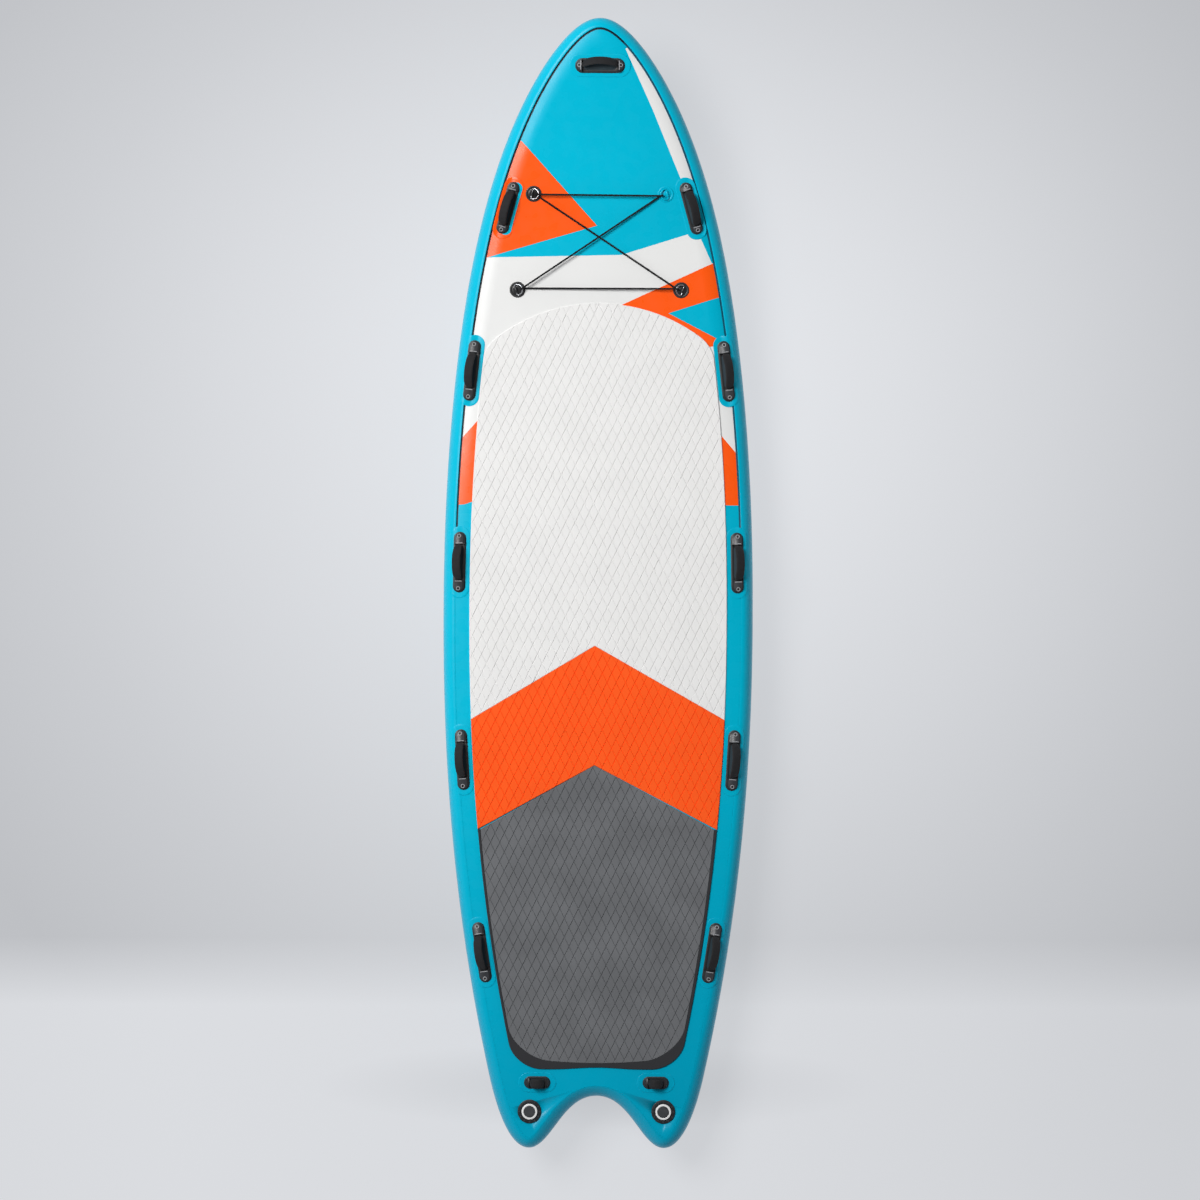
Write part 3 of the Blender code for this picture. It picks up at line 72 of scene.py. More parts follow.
# Deck pad
PAD_THICKNESS, PAD_INSET = 0.006, 0.102
PAD_NOSE_GAP, PAD_NOSE_RADIUS, PAD_NOSE_CORNER = 1.057, 0.648, 0.090
PAD_TAIL_GAP, PAD_TAIL_CORNER, PAD_INNER_CORNER = 0.310, 0.104, 0.120
PAD_ROLL, PAD_ROLL_DROP, PAD_EDGE_DROP = 0.0016, 0.0018, 0.0002
BORDER_ARCH, BORDER_ARCH_HALF, BORDER_MIDDLE, BORDER_RISE = 0.007, 0.170, 0.023, 0.012
BORDER_RISE_HALF, BORDER_SIDE, BORDER_POINTS, BORDER_SLOPE_STEP = 0.22, 0.010, 160, 0.01
PAD_SIDE_STEP, PAD_CURVE_STEPS, PAD_CORNER_LEAN, ROUND_HANDLE = 0.06, 16, 0.008, 0.55
PAD_NOSE_STEPS, PAD_NOSE_HANDLE, PAD_SIDE_HANDLE = 24, (0.028, 0.017), 0.03
CHEVRON_X = -0.012
FRONT_CHEVRON, FRONT_FALL = 1.915, 0.280
REAR_CHEVRON, REAR_FALL = 1.462, 0.243
DIAMOND_WIDTH, DIAMOND_HEIGHT = 0.0352, 0.0715
GROOVE_SHARE, GROOVE_DEPTH, CROSS_GROOVE_DEPTH = 0.052, 0.0029, 0.0018

# Handles
BASE_PLATE, BASE_RIM, PATCH_THICKNESS, BASE_SINK = 0.003, 0.012, 0.0012, 0.0006
HINGE_HEIGHT, PIN_RADIUS, PIN_LENGTH, PIN_WALL = 0.007, 0.0028, 0.007, 0.0018
ELBOW_REACH, ELBOW_RISE, ELBOW_RADIUS = 0.005, 0.09, 0.0040
END_PAD_RIM, END_PAD_TIP, FRAME_SKIRT = 0.004, 0.0035, 0.0045
GRIP_THICKNESS, GRIP_SQUARENESS, GRIP_FIRST_DEG, GRIP_END_WIDTH = 0.009, 2.1, 9.0, 0.80
GRIP_WIDEN, SLOT_WEB, SLOT_WEB_DEPTH, SLOT_OVERLAP, END_PAD_FOOT = 1.22, 0.0027, 0.003, 0.001, 0.001
GRIP_STEPS, GRIP_SIDES, GRIP_FLATNESS, GRIP_EDGE_POWER = 34, 20, 0.45, 0.75
GRIP_WIDE_RISE, GRIP_WIDE_RUN, GRIP_FLAT_RISE, GRIP_FLAT_RUN = 0.3, 0.4, 0.25, 0.2
FRAME_ROUND = ((0.0, -0.0012), (0.0004, -0.0004), (0.0012, 0.0))
END_PAD_ROUND = ((0.0, -0.0016), (0.0005, -0.0007), (0.0014, 0.0))
BASE_WIDTH, NOSE_BASE_WIDTH = 0.047, 0.055
PATCH_END_MARGIN, PATCH_SIDE_MARGIN, PATCH_SEEN = 0.022, 0.014, 0.0013
PATCH_ROUND = ((0.0, 0.0), (0.0004, PATCH_SEEN * 0.7), (0.0016, PATCH_SEEN))
PATCH_LONG_STEP, PATCH_WIDE_STEP = 0.010, 0.006
CRESCENT_SHIFT, CRESCENT_GROW = 0.0105, 0.008
SIDE_HANDLE_Y = (1.432, 0.823, 0.097, -0.652, -1.382)
SIDE_HANDLES = ((0.200, 0.086), *[(0.230, 0.062)] * 4)
SIDE_LEAN_DEG, NOSE_LEAN_DEG = 20.0, 38.0
LONG_GRIP = (0.062, 0.035, 0.027)
SHORT_GRIP = (0.024, 0.026, 0.034)
NOSE_HANDLE, TAIL_HANDLE = (NOSE_Y - 0.182, 0.186), (TAIL_Y + 0.259, 0.100)

# Marks on the end pads' plates, whose grey is partly painted sheen, and the grey strips that are painted
# glints on small pads
MARK_RIM, MARK_INSET, MARK_SHIFT = 0.0075, 0.0012, 0.0032
MARK_RING_RADIUS, MARK_RING_WIRE, MARK_RING_INSET = 0.0062, 0.0017, 0.0115
MARK_BAR_INSET, MARK_BAR_WIRE, MARK_LIFT = 0.0052, 0.0019, 0.0008
MARK_TIP_GAP, MARK_BAR_MARGIN = 0.002, 0.003
PLATE_ROUND = ((0.0, -0.0008), (0.0, 0.0003), (0.0006, 0.0008))
MARK_HOLE = ((0.0046, -0.0005), (0.0042, 0.0010))
GLINT_X, GLINT_Y, GLINT_WIRE, GLINT_FOOT, GLINT_LIFT = 0.0065, 0.0105, 0.0011, 0.006, 0.0006
GLINT_STEPS = [(k * 0.0006, k * 0.0008) for k in range(6)]
# Material places in a frame: black moulding, grey with painted sheen, pale marks, the hole's painted
# shade, the slot web's painted shade
PLAIN, PLATE, MARK, HOLE, WEB = range(5)

# Lashing rings and cord
RING_WIRE_RADIUS, RING_HALF_BAR, RING_REACH, RING_CORNER = 0.0025, 0.017, 0.026, 0.003
RING_APEX_HEIGHT, RING_BAR_OFFSET = 0.0135, 0.006
RING_PATCH_RADIUS, RING_PATCH_THICKNESS = 0.030, 0.002
RING_PATCH_RIM = ((0.0, 0.45), (0.0006, 0.75), (0.0022, 1.0), (0.0075, 1.0), (0.0082, 0.7), (0.0089, 1.0))
KEEPER_WIDTH, KEEPER_WALL, KEEPER_FOOT, KEEPER_FIRST_TURN = 0.020, 0.0022, 1.6, 0.15
KEEPER_TOE, KEEPER_TOE_LIFT, KEEPER_TOE_SINK, KEEPER_ROUND = 1.25, 0.0010, 0.9, (0.001, 0.0008)
FRONT_RING_INSET, FRONT_RING_Y = 0.1717, NOSE_Y - 0.650
REAR_RING_INSET, REAR_RING_Y = 0.1917, NOSE_Y - 1.0065
CORD_RADIUS = 0.0035
CORD_BACK_CLEARANCE, CORD_RISE_CLEARANCE, KNOT_BACK_CLEARANCE = 0.0009, 0.0014, 0.0014
KNOT_LENGTH, KNOT_WIDTH, KNOT_HEIGHT, CORD_END_SPREAD = 0.017, 0.021, 0.014, 0.55
KNOT_STRAND, CORD_TURN_STEPS = 0.0034, 7

# Valves
VALVE_Y = TAIL_Y + 0.149
FLANGE_RADIUS, FLANGE_HEIGHT, FLANGE_LUGS, LUG_CIRCLE = 0.045, 0.0040, 12, 0.0385
FLANGE_GROOVE = ((0.0330, 0.0), (0.0335, 0.0006), (0.0342, 0.0006), (0.0347, 0.0))
FLANGE_ROUND = ((0.0022, 0.0), (0.0007, 0.0005), (0.0, 0.0018))
LUG_LENGTH, LUG_WIDTH, LUG_RISE, LUG_EDGE_RISE, LUG_ROUND = 0.0080, 0.0040, 0.0015, 0.0010, 0.0005
BARREL_RADIUS, BARREL_BORE, BARREL_DEPTH, BARREL_FLOOR = 0.027, 0.022, 0.027, 0.003
SEAT_RADIUS, HUB_RADIUS, STEM_BORE, ARM_HALF, ARM_OVERLAP = 0.016, 0.0065, 0.0028, 0.0015, 0.001
COLLAR_RADIUS, COLLAR_HEIGHT, COLLAR_MOUTH, COLLAR_LEDGE = 0.0298, 0.0055, 0.0224, 0.0022
COLLAR_SLEEVE_BORE, COLLAR_SLEEVE_DEPTH, COLLAR_MOUTH_ROUND = 0.0190, 0.012, 0.0008
COLLAR_ROUND = ((0.0, 0.0018), (0.0006, 0.0006), (0.0018, 0.0))
CAP_CLEARANCE, CAP_THICKNESS, CAP_PLUG_WALL, CAP_PLUG_DEPTH = 0.0006, 0.0026, 0.0020, 0.0026
CAP_FACE = ((0.0, 0.0004), (0.0165, 0.0002), (0.0172, 0.0008), (0.0180, 0.0008), (0.0187, 0.0))
CAP_ROUND = ((0.0015, 0.0), (0.0004, 0.0005), (0.0, 0.0015))
CAP_PLUG_GROOVE = ((0.0, 0.0), (0.0, 0.4), (0.0006, 0.55), (0.0, 0.7))
SPRING_RADIUS, SPRING_WIRE_RADIUS, SPRING_TURNS, POPPET_TRAVEL = 0.0046, 0.0006, 4, 0.006
BUTTON_UNDERSIDE = 0.0035 - 0.0025
BARREL_FLOOR_TOP = BARREL_FLOOR - BARREL_DEPTH
COLLAR_BASE = FLANGE_HEIGHT + GAP
COLLAR_TOP, LEDGE = COLLAR_BASE + COLLAR_HEIGHT, COLLAR_BASE + COLLAR_LEDGE

# Fins
FIN_BASE, FIN_TIP, FIN_LEAD_RAKE, FIN_TRAIL_RAKE = 0.160, 0.048, 0.105, 0.153
FIN_ROOT_THICKNESS, FIN_THINNING = 0.0072, 0.0042
FIN_TIP_SWEEP, FIN_LEAD_POWER, FIN_TRAIL_POWER = 0.35, 1.25, 0.8
FOIL_CROWDING, FOIL_SWELL, FOIL_TAPER, FOIL_TAIL = 1.5, 2.05, 0.75, 0.08
FIN_BOX_FRONT, SIDE_FIN_MIDDLE = 0.480 + 0.115 - 0.010, 0.530
CENTRE_FIN_SINK, SIDE_FIN_SINK = 0.016, 0.001
SIDE_FIN_FOOT = (0.200, 0.056)
FIN_FOOT_ROUND = ((0.0, 0.0), (0.0, 0.0012), (0.0006, 0.0018), (0.0018, 0.0020))
KEY_HALF, KEY_NECK_HALF, KEY_HEIGHT, KEY_LIP, KEY_ROUND = 0.0105, 0.00425, 0.007, 0.004, 0.001

# Shoulder, seam and finer facets of the visible hull
SHOULDER_RUN, SHOULDER_TAIL_RUN, SHOULDER_POWER = 0.052, 0.001, 1.65
SHOULDER_SHARES = (0.0, 0.065, 0.13, 0.2, 0.3, 0.42, 0.56, 0.75, 1.0)
SEAM_DEPTH_Y = (-1.75, -1.45, -0.10, 0.20, 0.50, 0.80, 1.80, 2.10)
SEAM_DEPTHS = (0.0, 0.0014, 0.0020, 0.0030, 0.0048, 0.0086, 0.0096, 0.0070)
SEAM_LIP, SOFT_LIP, SEAM_SPLIT_X, SEAM_END_Y = 0.0045, 0.036, 0.12, 0.16
SHOULDER_GROWS_FROM, SHOULDER_GROWS_OVER, SOFT_LIP_RUN = 0.28, 0.7, 0.4
TAIL_LEAN, TAIL_LEAN_Y, TAIL_LEAN_RUN = 0.15, -1.55, 0.35
NOTCH_LEAN, NOTCH_LEAN_FIRST, NOTCH_LEAN_STEPS = 0.45, 2, 12
RAIL_ANGLES = (90, 88, 86, *np.linspace(84, -90, 30))
RAIL_INSIDE_ANGLES = np.linspace(-90, 90, 9)[:-1]
DECK_MARGINS, BOTTOM_ROWS_Y, CORE_TOP_BAND = (0.06, 0.12), 0.35, 0.010
HOLE_SIDES, HOLE_DEPTH = 48, 0.02
PATCH_BRIDGE, BRIDGE_END_Y = 0.020, 0.2
NOSE_STEPS, SIDE_STEP, CORNER_STEPS, NOTCH_STEPS = 72, 0.030, 22, 34
ROW_STEP, SLOPE_STEP = 0.045, 0.015

# Stage and light
CAMERA_PLACE = (0.0069, -0.045, 12.205)
CAMERA_ROLL, CAMERA_LENS, SENSOR = 0.0036, 94.34, 36
HORIZON_Y, HORIZON_SOFTNESS, FLOOR_GLOW = -1.49, 0.13, 0.82
GLOW_PLACE, GLOW_RADII, GLOW_STRETCH = (0.15, 0.85), (2.3, 2.6), 1.45
TAIL_SHADE, TAIL_SHADE_Y, TAIL_SHADE_RADII = 208, -1.93, (1.1, 0.17)
WALL_TONES = ((0.07, 231), (0.14, 225), (0.22, 216), (0.31, 204), (0.41, 192), (1.0, 204))
SWEEP_TONES = ((0.0, 223), (0.45, 222), (0.7, 219), (1.0, 213))
SWEEP_SHIFT, SWEEP_REACH, WALL_REACH, GLOW_FADE = 0.45, 2.7, 3.2, (1.3, 2.2)
TAIL_SHADE_STRENGTH, TAIL_SHADE_EDGE, FLOOR_HALF, FLOOR_DROP = 0.75, (0.25, 1.0), 40, 0.001
SKY_STOPS, SKY_TINT = ((0.30, 0.62), (0.80, 0.04)), (0.955, 0.96, 1.0)
LAMP_PLACE, LAMP_TARGET, LAMP_SIZE, LAMP_WATTS = (-4.2, 3.0, 8.5), (0, 0.3, 0), 4.2, 938


# Materials

# Painted shade on the coated cloth: the y range where it darkens towards the tail, the x range where it
# darkens towards starboard, and the share starboard keeps
DECK_SHADE_Y, DECK_SHADE_X, STARBOARD_SHADE = (-1.95, -0.6), (-0.1, 0.6), (0.87, 0.87, 0.88, 1)


def srgb(r, g, b):
    """Linear colour of an 8-bit one."""
    shares = (r / 255, g / 255, b / 255)
    return tuple(c / 12.92 if c <= 0.04045 else ((c + 0.055) / 1.055) ** 2.4 for c in shares)


def feed(tree, made, values):
    """Links a socket or sets a value at each named input, and gives the outputs."""
    for name, value in values.items():
        if isinstance(value, bpy.types.NodeSocket):
            tree.links.new(value, made.inputs[name])
        else:
            made.inputs[name].default_value = value
    return made.outputs


def add_node(tree, kind, values):
    return feed(tree, tree.nodes.new(kind), values)


def maths(tree, operation, *values, kind="ShaderNodeMath"):
    made = tree.nodes.new(kind)
    made.operation = operation
    return feed(tree, made, dict(enumerate(values)))["Value"]


def distance(tree, vector):
    return maths(tree, "LENGTH", vector, kind="ShaderNodeVectorMath")


def mixed(tree, a, b, factor, blend="MIX"):
    made = tree.nodes.new("ShaderNodeMix")
    made.data_type, made.blend_type = "RGBA", blend
    return feed(tree, made, {"A": a, "B": b, "Factor": factor})["Result"]


def mapped(tree, scale=(1, 1, 1), turn=(0, 0, 0), shift=(0, 0, 0)):
    place = add_node(tree, "ShaderNodeTexCoord", {})["Object"]
    values = {"Vector": place, "Scale": scale, "Rotation": turn, "Location": shift}
    return add_node(tree, "ShaderNodeMapping", values)["Vector"]


def parted(tree, vector):
    return add_node(tree, "ShaderNodeSeparateXYZ", {"Vector": vector})


def noise(tree, vector, per_metre, detail=3.0):
    values = {"Vector": vector, "Scale": per_metre, "Detail": detail}
    return add_node(tree, "ShaderNodeTexNoise", values)["Fac"]


def ramp(tree, source, low, high, a=0.35, b=0.65):
    values = {"Value": source, "From Min": a, "From Max": b, "To Min": low, "To Max": high}
    return add_node(tree, "ShaderNodeMapRange", values)["Result"]


def colour_ramp(tree, source, stops):
    made = tree.nodes.new("ShaderNodeValToRGB")
    for _ in stops[2:]:
        made.color_ramp.elements.new(0.5)
    for element, (at, colour) in zip(made.color_ramp.elements, stops):
        element.position = at
        element.color = (*colour, 1)
    return feed(tree, made, {"Fac": source})["Color"]


def bump(tree, shader, sources):
    """Stacks bumps, each one a height source and its depth in metres."""
    values = {}
    for source, depth in sources:
        values = {**values, "Strength": 1.0, "Distance": depth, "Height": source}
        values = {"Normal": add_node(tree, "ShaderNodeBump", values)["Normal"]}
    feed(tree, shader, values)


def weave(tree, per_metre, turn=0.0):
    """Height of a plain weave: two sets of threads across each other."""
    heights = []
    for angle in (turn, turn + math.pi / 2):
        values = {"Vector": mapped(tree, turn=(0, 0, angle)), "Scale": per_metre / (2 * math.pi),
                  "Distortion": 0.4}
        heights.append(add_node(tree, "ShaderNodeTexWave", values)["Fac"])
    return maths(tree, "MAXIMUM", *heights)


def shader_tree(name, colour, roughness, metallic=0.0, coat=0.0, sheen=0.0, specular=0.5):
    made = bpy.data.materials.new(name)
    made.use_nodes = True
    made.diffuse_color = (*colour, 1.0)
    tree = made.node_tree
    shader = tree.nodes["Principled BSDF"]
    feed(tree, shader, {"Base Color": (*colour, 1.0), "Roughness": roughness, "Metallic": metallic,
                        "Coat Weight": coat, "Sheen Weight": sheen, "Specular IOR Level": specular})
    return made, tree, shader


def varied(tree, colour, source, amount):
    """Lets the colour wander by this share of itself."""
    darker = [c * (1 - amount) for c in colour]
    lighter = [min(1, c * (1 + amount)) for c in colour]
    return mixed(tree, (*darker, 1), (*lighter, 1), ramp(tree, source, 0, 1))


def shaded_aft_and_starboard(tree, colour, tail):
    """Paints shade on the colour: darker towards the tail, and a little darker towards starboard."""
    place = parted(tree, mapped(tree))
    along = mixed(tree, (*tail, 1), colour, ramp(tree, place["Y"], 0, 1, *DECK_SHADE_Y))
    return mixed(tree, along, STARBOARD_SHADE, ramp(tree, place["X"], 0, 1, *DECK_SHADE_X), "MULTIPLY")


def coated_cloth(name, colour, roughness=0.2, amount=0.02, tail=None, shine=0.4):
    """Coated hull fabric: the weave of the cloth just shows through its skin. A tail colour adds painted
    shade towards the tail and starboard.
    """
    made, tree, shader = shader_tree(name, colour, roughness, specular=shine)
    vector = mapped(tree)
    dye = varied(tree, colour, noise(tree, vector, 3.0), amount)
    gloss = ramp(tree, noise(tree, vector, 22, 1), roughness - 0.02, roughness + 0.04)
    feed(tree, shader, {"Base Color": shaded_aft_and_starboard(tree, dye, tail) if tail else dye, "Roughness": gloss})
    bump(tree, shader, [(weave(tree, 1000), 0.000012), (noise(tree, vector, 9, 2), 0.0004)])
    return made


def foam(name, colour, amount=0.03, roughness=0.72):
    """Closed-cell foam with a fine grain."""
    made, tree, shader = shader_tree(name, colour, roughness, specular=0.2)
    vector = mapped(tree)
    feed(tree, shader, {"Base Color": varied(tree, colour, noise(tree, vector, 7), amount)})
    bump(tree, shader, [(noise(tree, vector, 1400, 4), 0.00012), (noise(tree, vector, 160), 0.00015)])
    return made


def moulded(name, colour, roughness, amount=0.06, coat=0.0):
    """Moulded plastic or rubber with a fine texture and slightly uneven shine."""
    made, tree, shader = shader_tree(name, colour, roughness, coat=coat)
    vector = mapped(tree)
    gloss = ramp(tree, noise(tree, vector, 300), roughness - 0.06, roughness + 0.08)
    feed(tree, shader, {"Base Color": varied(tree, colour, noise(tree, vector, 40), amount),
                        "Roughness": gloss})
    bump(tree, shader, [(noise(tree, vector, 2500), 0.00004)])
    return made


def woven(name, colour, per_metre, depth, roughness=0.8, turn=0.6):
    made, tree, shader = shader_tree(name, colour, roughness, sheen=0.04, specular=0.3)
    feed(tree, shader, {"Base Color": varied(tree, colour, noise(tree, mapped(tree), 90), 0.12)})
    bump(tree, shader, [(weave(tree, per_metre, turn), depth)])
    return made


def brushed(name, colour):
    made, tree, shader = shader_tree(name, colour, 0.24, metallic=1.0)
    streaks = noise(tree, mapped(tree, scale=(1, 1, 12)), 900)
    feed(tree, shader, {"Roughness": ramp(tree, streaks, 0.16, 0.36)})
    bump(tree, shader, [(streaks, 0.00002)])
    return made


# The teal's tail colour is painted shade: the cloth darkens towards the tail and towards starboard
TEAL = coated_cloth("coated teal", srgb(0, 183, 213), 0.27, tail=srgb(0, 163, 196), shine=0.16)
# Painted shade in the seam's groove: near black, and a dark teal one for the starboard side
SEAM_SHADE = coated_cloth("seam shade", srgb(2, 26, 40), 0.5)
SEAM_SHADE_TEAL = coated_cloth("seam shade teal", srgb(2, 84, 106), 0.5)
WHITE = coated_cloth("coated white", srgb(228, 229, 228), 0.3, 0.01, shine=0.22)
ORANGE = coated_cloth("coated orange", srgb(255, 90, 16), 0.28, shine=0.32)
PAD_WHITE = foam("foam white", srgb(230, 230, 229), 0.012)
PAD_ORANGE = foam("foam orange", srgb(255, 90, 22))
PAD_GREY = foam("foam grey", srgb(104, 106, 109), 0.08)
PAD_DARK = foam("foam charcoal", srgb(46, 47, 50), 0.05, 0.62)
RUBBER = moulded("moulded black", srgb(32, 33, 35), 0.42)
# A grey that is partly painted sheen on the black moulding; on the valve lugs and the small end pads it is
# painted glints
GREY_SHEEN = moulded("moulded grey and sheen", srgb(56, 58, 62), 0.42)
EMBOSSED = moulded("embossed mark", srgb(150, 152, 155), 0.36)
# The dark disc in each mark's ring is painted shade of a hole
HOLE_SHADE = moulded("recess shade", srgb(14, 15, 17), 0.5)
# The slot web's dark teal is painted shade: the patch under the grip in shadow
SLOT_SHADE = moulded("slot web shade", srgb(20, 44, 54), 0.55)
GRIP = woven("grip sleeve", srgb(30, 30, 32), 1400, 0.00006)
CORD_CLOTH = woven("cord braid", srgb(12, 13, 15), 900, 0.0002, turn=0.8)
STEEL = brushed("stainless steel", srgb(176, 178, 182))
VALVE_WHITE = moulded("valve white", srgb(232, 233, 232), 0.35, 0.01)
VALVE_GREY = moulded("valve grey", srgb(58, 60, 63), 0.45)
VALVE_BLACK = moulded("valve black", srgb(34, 36, 39), 0.4)
FIN_BLACK = moulded("fin black", srgb(30, 31, 34), 0.3, coat=0.3)
BASE_CLOTH = woven("base cloth", srgb(216, 216, 210), 1100, 0.0002, 0.85, 0.0)
CARRIED = {
    "fin_box": RUBBER, "fin_lock": RUBBER,
    "valve_clamp_left": VALVE_BLACK, "valve_clamp_right": VALVE_BLACK,
    "valve_poppet_left": VALVE_WHITE, "valve_poppet_right": VALVE_WHITE,
}


# Outline and rocker of the hull

def half_width(y):
    if y > WIDEST_Y:
        t = (y - WIDEST_Y) / (NOSE_Y - WIDEST_Y)
        pinch = 1 - NOSE_PINCH * t**NOSE_PINCH_POWER
        return WIDTH / 2 * math.sqrt(max(0.0, 1 - t**NOSE_POWER)) * pinch
    return WIDTH / 2 - TAIL_TAPER * ((WIDEST_Y - y) / TAIL_TAPER_RUN) ** TAIL_TAPER_POWER


def bezier(p0, p1, p2, p3, steps):
    found = []
    for i in range(1, steps + 1):
        t = i / steps
        s = 1 - t
        terms = [(s**3, p0), (3 * s * s * t, p1), (3 * s * t * t, p2), (t**3, p3)]
        found.append(tuple(sum(w * p[k] for w, p in terms) for k in (0, 1)))
    return found


def starboard_outline():
    points = []
    for i in range(NOSE_STEPS):
        y = WIDEST_Y + (NOSE_Y - WIDEST_Y) * math.sin(math.pi / 2 * (1 - i / NOSE_STEPS))
        points.append((0.0 if i == 0 else half_width(y), y))
    corner_y = TAIL_Y + TAIL_CORNER_LENGTH
    count = math.ceil((WIDEST_Y - corner_y) / SIDE_STEP)
    for i in range(count + 1):
        y = WIDEST_Y + (corner_y - WIDEST_Y) * i / count
        points.append((half_width(y), y))
    corner = Vector(points[-1])
    along = (corner - Vector((half_width(corner_y + SLOPE_STEP), corner_y + SLOPE_STEP))).normalized()
    handle = tuple(corner + along * TAIL_CORNER_HANDLE)
    tip, apex_y = (TAIL_TIP_X, TAIL_Y), TAIL_Y + NOTCH_DEPTH
    points += bezier(points[-1], handle, (TAIL_TIP_X + TAIL_TIP_OUTER_HANDLE, TAIL_Y), tip, CORNER_STEPS)
    points += bezier(tip, (TAIL_TIP_X - TAIL_TIP_INNER_HANDLE, TAIL_Y), (NOTCH_HANDLE, apex_y),
                     (0.0, apex_y), NOTCH_STEPS)
    return points


def mirrored(points):
    return points + [(-x, y) for x, y in reversed(points[1:-1])]


def inward_steps(loop):
    steps = []
    for i, here in enumerate(loop):
        before = (Vector(here) - Vector(loop[i - 1])).normalized()
        after = (Vector(loop[(i + 1) % len(loop)]) - Vector(here)).normalized()
        n0, n1 = Vector((before.y, -before.x)), Vector((after.y, -after.x))
        mean = (n0 + n1).normalized()
        steps.append(mean / max(0.3, mean.dot(n0)))
    return steps


def run_lengths(line):
    """How far along the line each of its points lies."""
    return np.concatenate([[0.0], np.cumsum([math.dist(a, b) for a, b in zip(line, line[1:])])])


STARBOARD = starboard_outline()
OUTLINE = mirrored(STARBOARD)
STEPS = inward_steps(OUTLINE)
ARC = run_lengths(STARBOARD)
ARC_X, ARC_Y = np.array(STARBOARD).T
STEP_X, STEP_Y = np.array([tuple(s) for s in STEPS[: len(STARBOARD)]]).T
BEND_Y = np.linspace(ROCKER_START_Y, NOSE_Y, 13)
BEND_Z = NOSE_RISE * ((BEND_Y - ROCKER_START_Y) / (NOSE_Y - ROCKER_START_Y)) ** 2


def bend(y):
    """The rocker's lift at y, as smooth as the cloth."""
    return NOSE_RISE * max(0.0, (y - ROCKER_START_Y) / (NOSE_Y - ROCKER_START_Y)) ** 2


def cad_bend(y):
    """The rocker's lift at y in the solids, on which the stiff pieces stand."""
    return float(np.interp(y, BEND_Y, BEND_Z))


def smooth(t):
    t = min(1.0, max(0.0, t))
    return t * t * (3 - 2 * t)


def seam_depth(y):
    return float(np.interp(y, SEAM_DEPTH_Y, SEAM_DEPTHS))


def shoulder_run(y):
    grown = smooth((y - TAIL_Y - SHOULDER_GROWS_FROM) / SHOULDER_GROWS_OVER)
    return SHOULDER_TAIL_RUN + (SHOULDER_RUN - SHOULDER_TAIL_RUN) * grown


def drop_at(inset, y, bridged=False):
    """How far the hull rolls down towards its seam there; a patch bridges the seam itself."""
    depth, inner = seam_depth(y), inset - RAIL_REACH
    if bridged and -SEAM_LIP < inner < PATCH_BRIDGE and y > BRIDGE_END_Y:
        share = (inner + SEAM_LIP) / (PATCH_BRIDGE + SEAM_LIP)
        return drop_at(RAIL_REACH + PATCH_BRIDGE, y) * share
    if inner < 0:
        lip = SOFT_LIP + (SEAM_LIP - SOFT_LIP) * smooth(y / SOFT_LIP_RUN)
        return depth * max(0.0, (inner + lip) / lip) ** 2
    return depth * max(0.0, 1 - inner / shoulder_run(y)) ** SHOULDER_POWER


# Meshes and pieces

def new_object(name, bm, materials=(), smooth_deg=40.0):
    bmesh.ops.recalc_face_normals(bm, faces=bm.faces[:])
    mesh = bpy.data.meshes.new(name)
    bm.to_mesh(mesh)
    bm.free()
    mesh.shade_smooth()
    mesh.set_sharp_from_angle(angle=math.radians(smooth_deg))
    for material in materials:
        mesh.materials.append(material)
    made = bpy.data.objects.new(name, mesh)
    bpy.context.scene.collection.objects.link(made)
    return made


def place_piece(made, node, body="board"):
    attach(made, body)
    if node:
        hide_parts(node)
    return made


def add_piece(name, bm, materials, node, smooth_deg=40.0, body="board"):
    return place_piece(new_object(name, bm, materials, smooth_deg), node, body)


def absorb(bm, other):
    """Moves all of another bmesh into this one."""
    mesh = bpy.data.meshes.new("part")
    other.to_mesh(mesh)
    other.free()
    bm.from_mesh(mesh)
    bpy.data.meshes.remove(mesh)


def join_bm(bm, other, material=0):
    """Adds another closed bmesh to this one, with its own material."""
    bmesh.ops.recalc_face_normals(other, faces=other.faces[:])
    for face in other.faces:
        face.material_index = material
    absorb(bm, other)


def moved(bm, matrix):
    bmesh.ops.transform(bm, matrix=matrix, verts=bm.verts[:])
    return bm


def lofted(rings, closed=False):
    bm = bmesh.new()
    loops = [[bm.verts.new(p) for p in ring] for ring in rings]
    pairs = list(zip(loops, loops[1:]))
    if closed:
        pairs.append((loops[-1], loops[0]))
    for a, b in pairs:
        for i in range(len(a)):
            j = (i + 1) % len(a)
            bm.faces.new((a[i], a[j], b[j], b[i]))
    if not closed:
        bm.faces.new(loops[0])
        bm.faces.new(list(reversed(loops[-1])))
    return bm


def turned(profile, segments=96):
    bm = bmesh.new()
    ring = [bm.verts.new((r, 0, z)) for r, z in profile]
    edges = [bm.edges.new(pair) for pair in zip(ring, ring[1:])]
    if profile[0][0] > 0:
        edges.append(bm.edges.new((ring[-1], ring[0])))
    bmesh.ops.spin(bm, geom=ring + edges, cent=(0, 0, 0), axis=(0, 0, 1), angle=2 * math.pi,
                   steps=segments, use_duplicate=False)
    bmesh.ops.remove_doubles(bm, verts=bm.verts[:], dist=1e-6)
    return bm


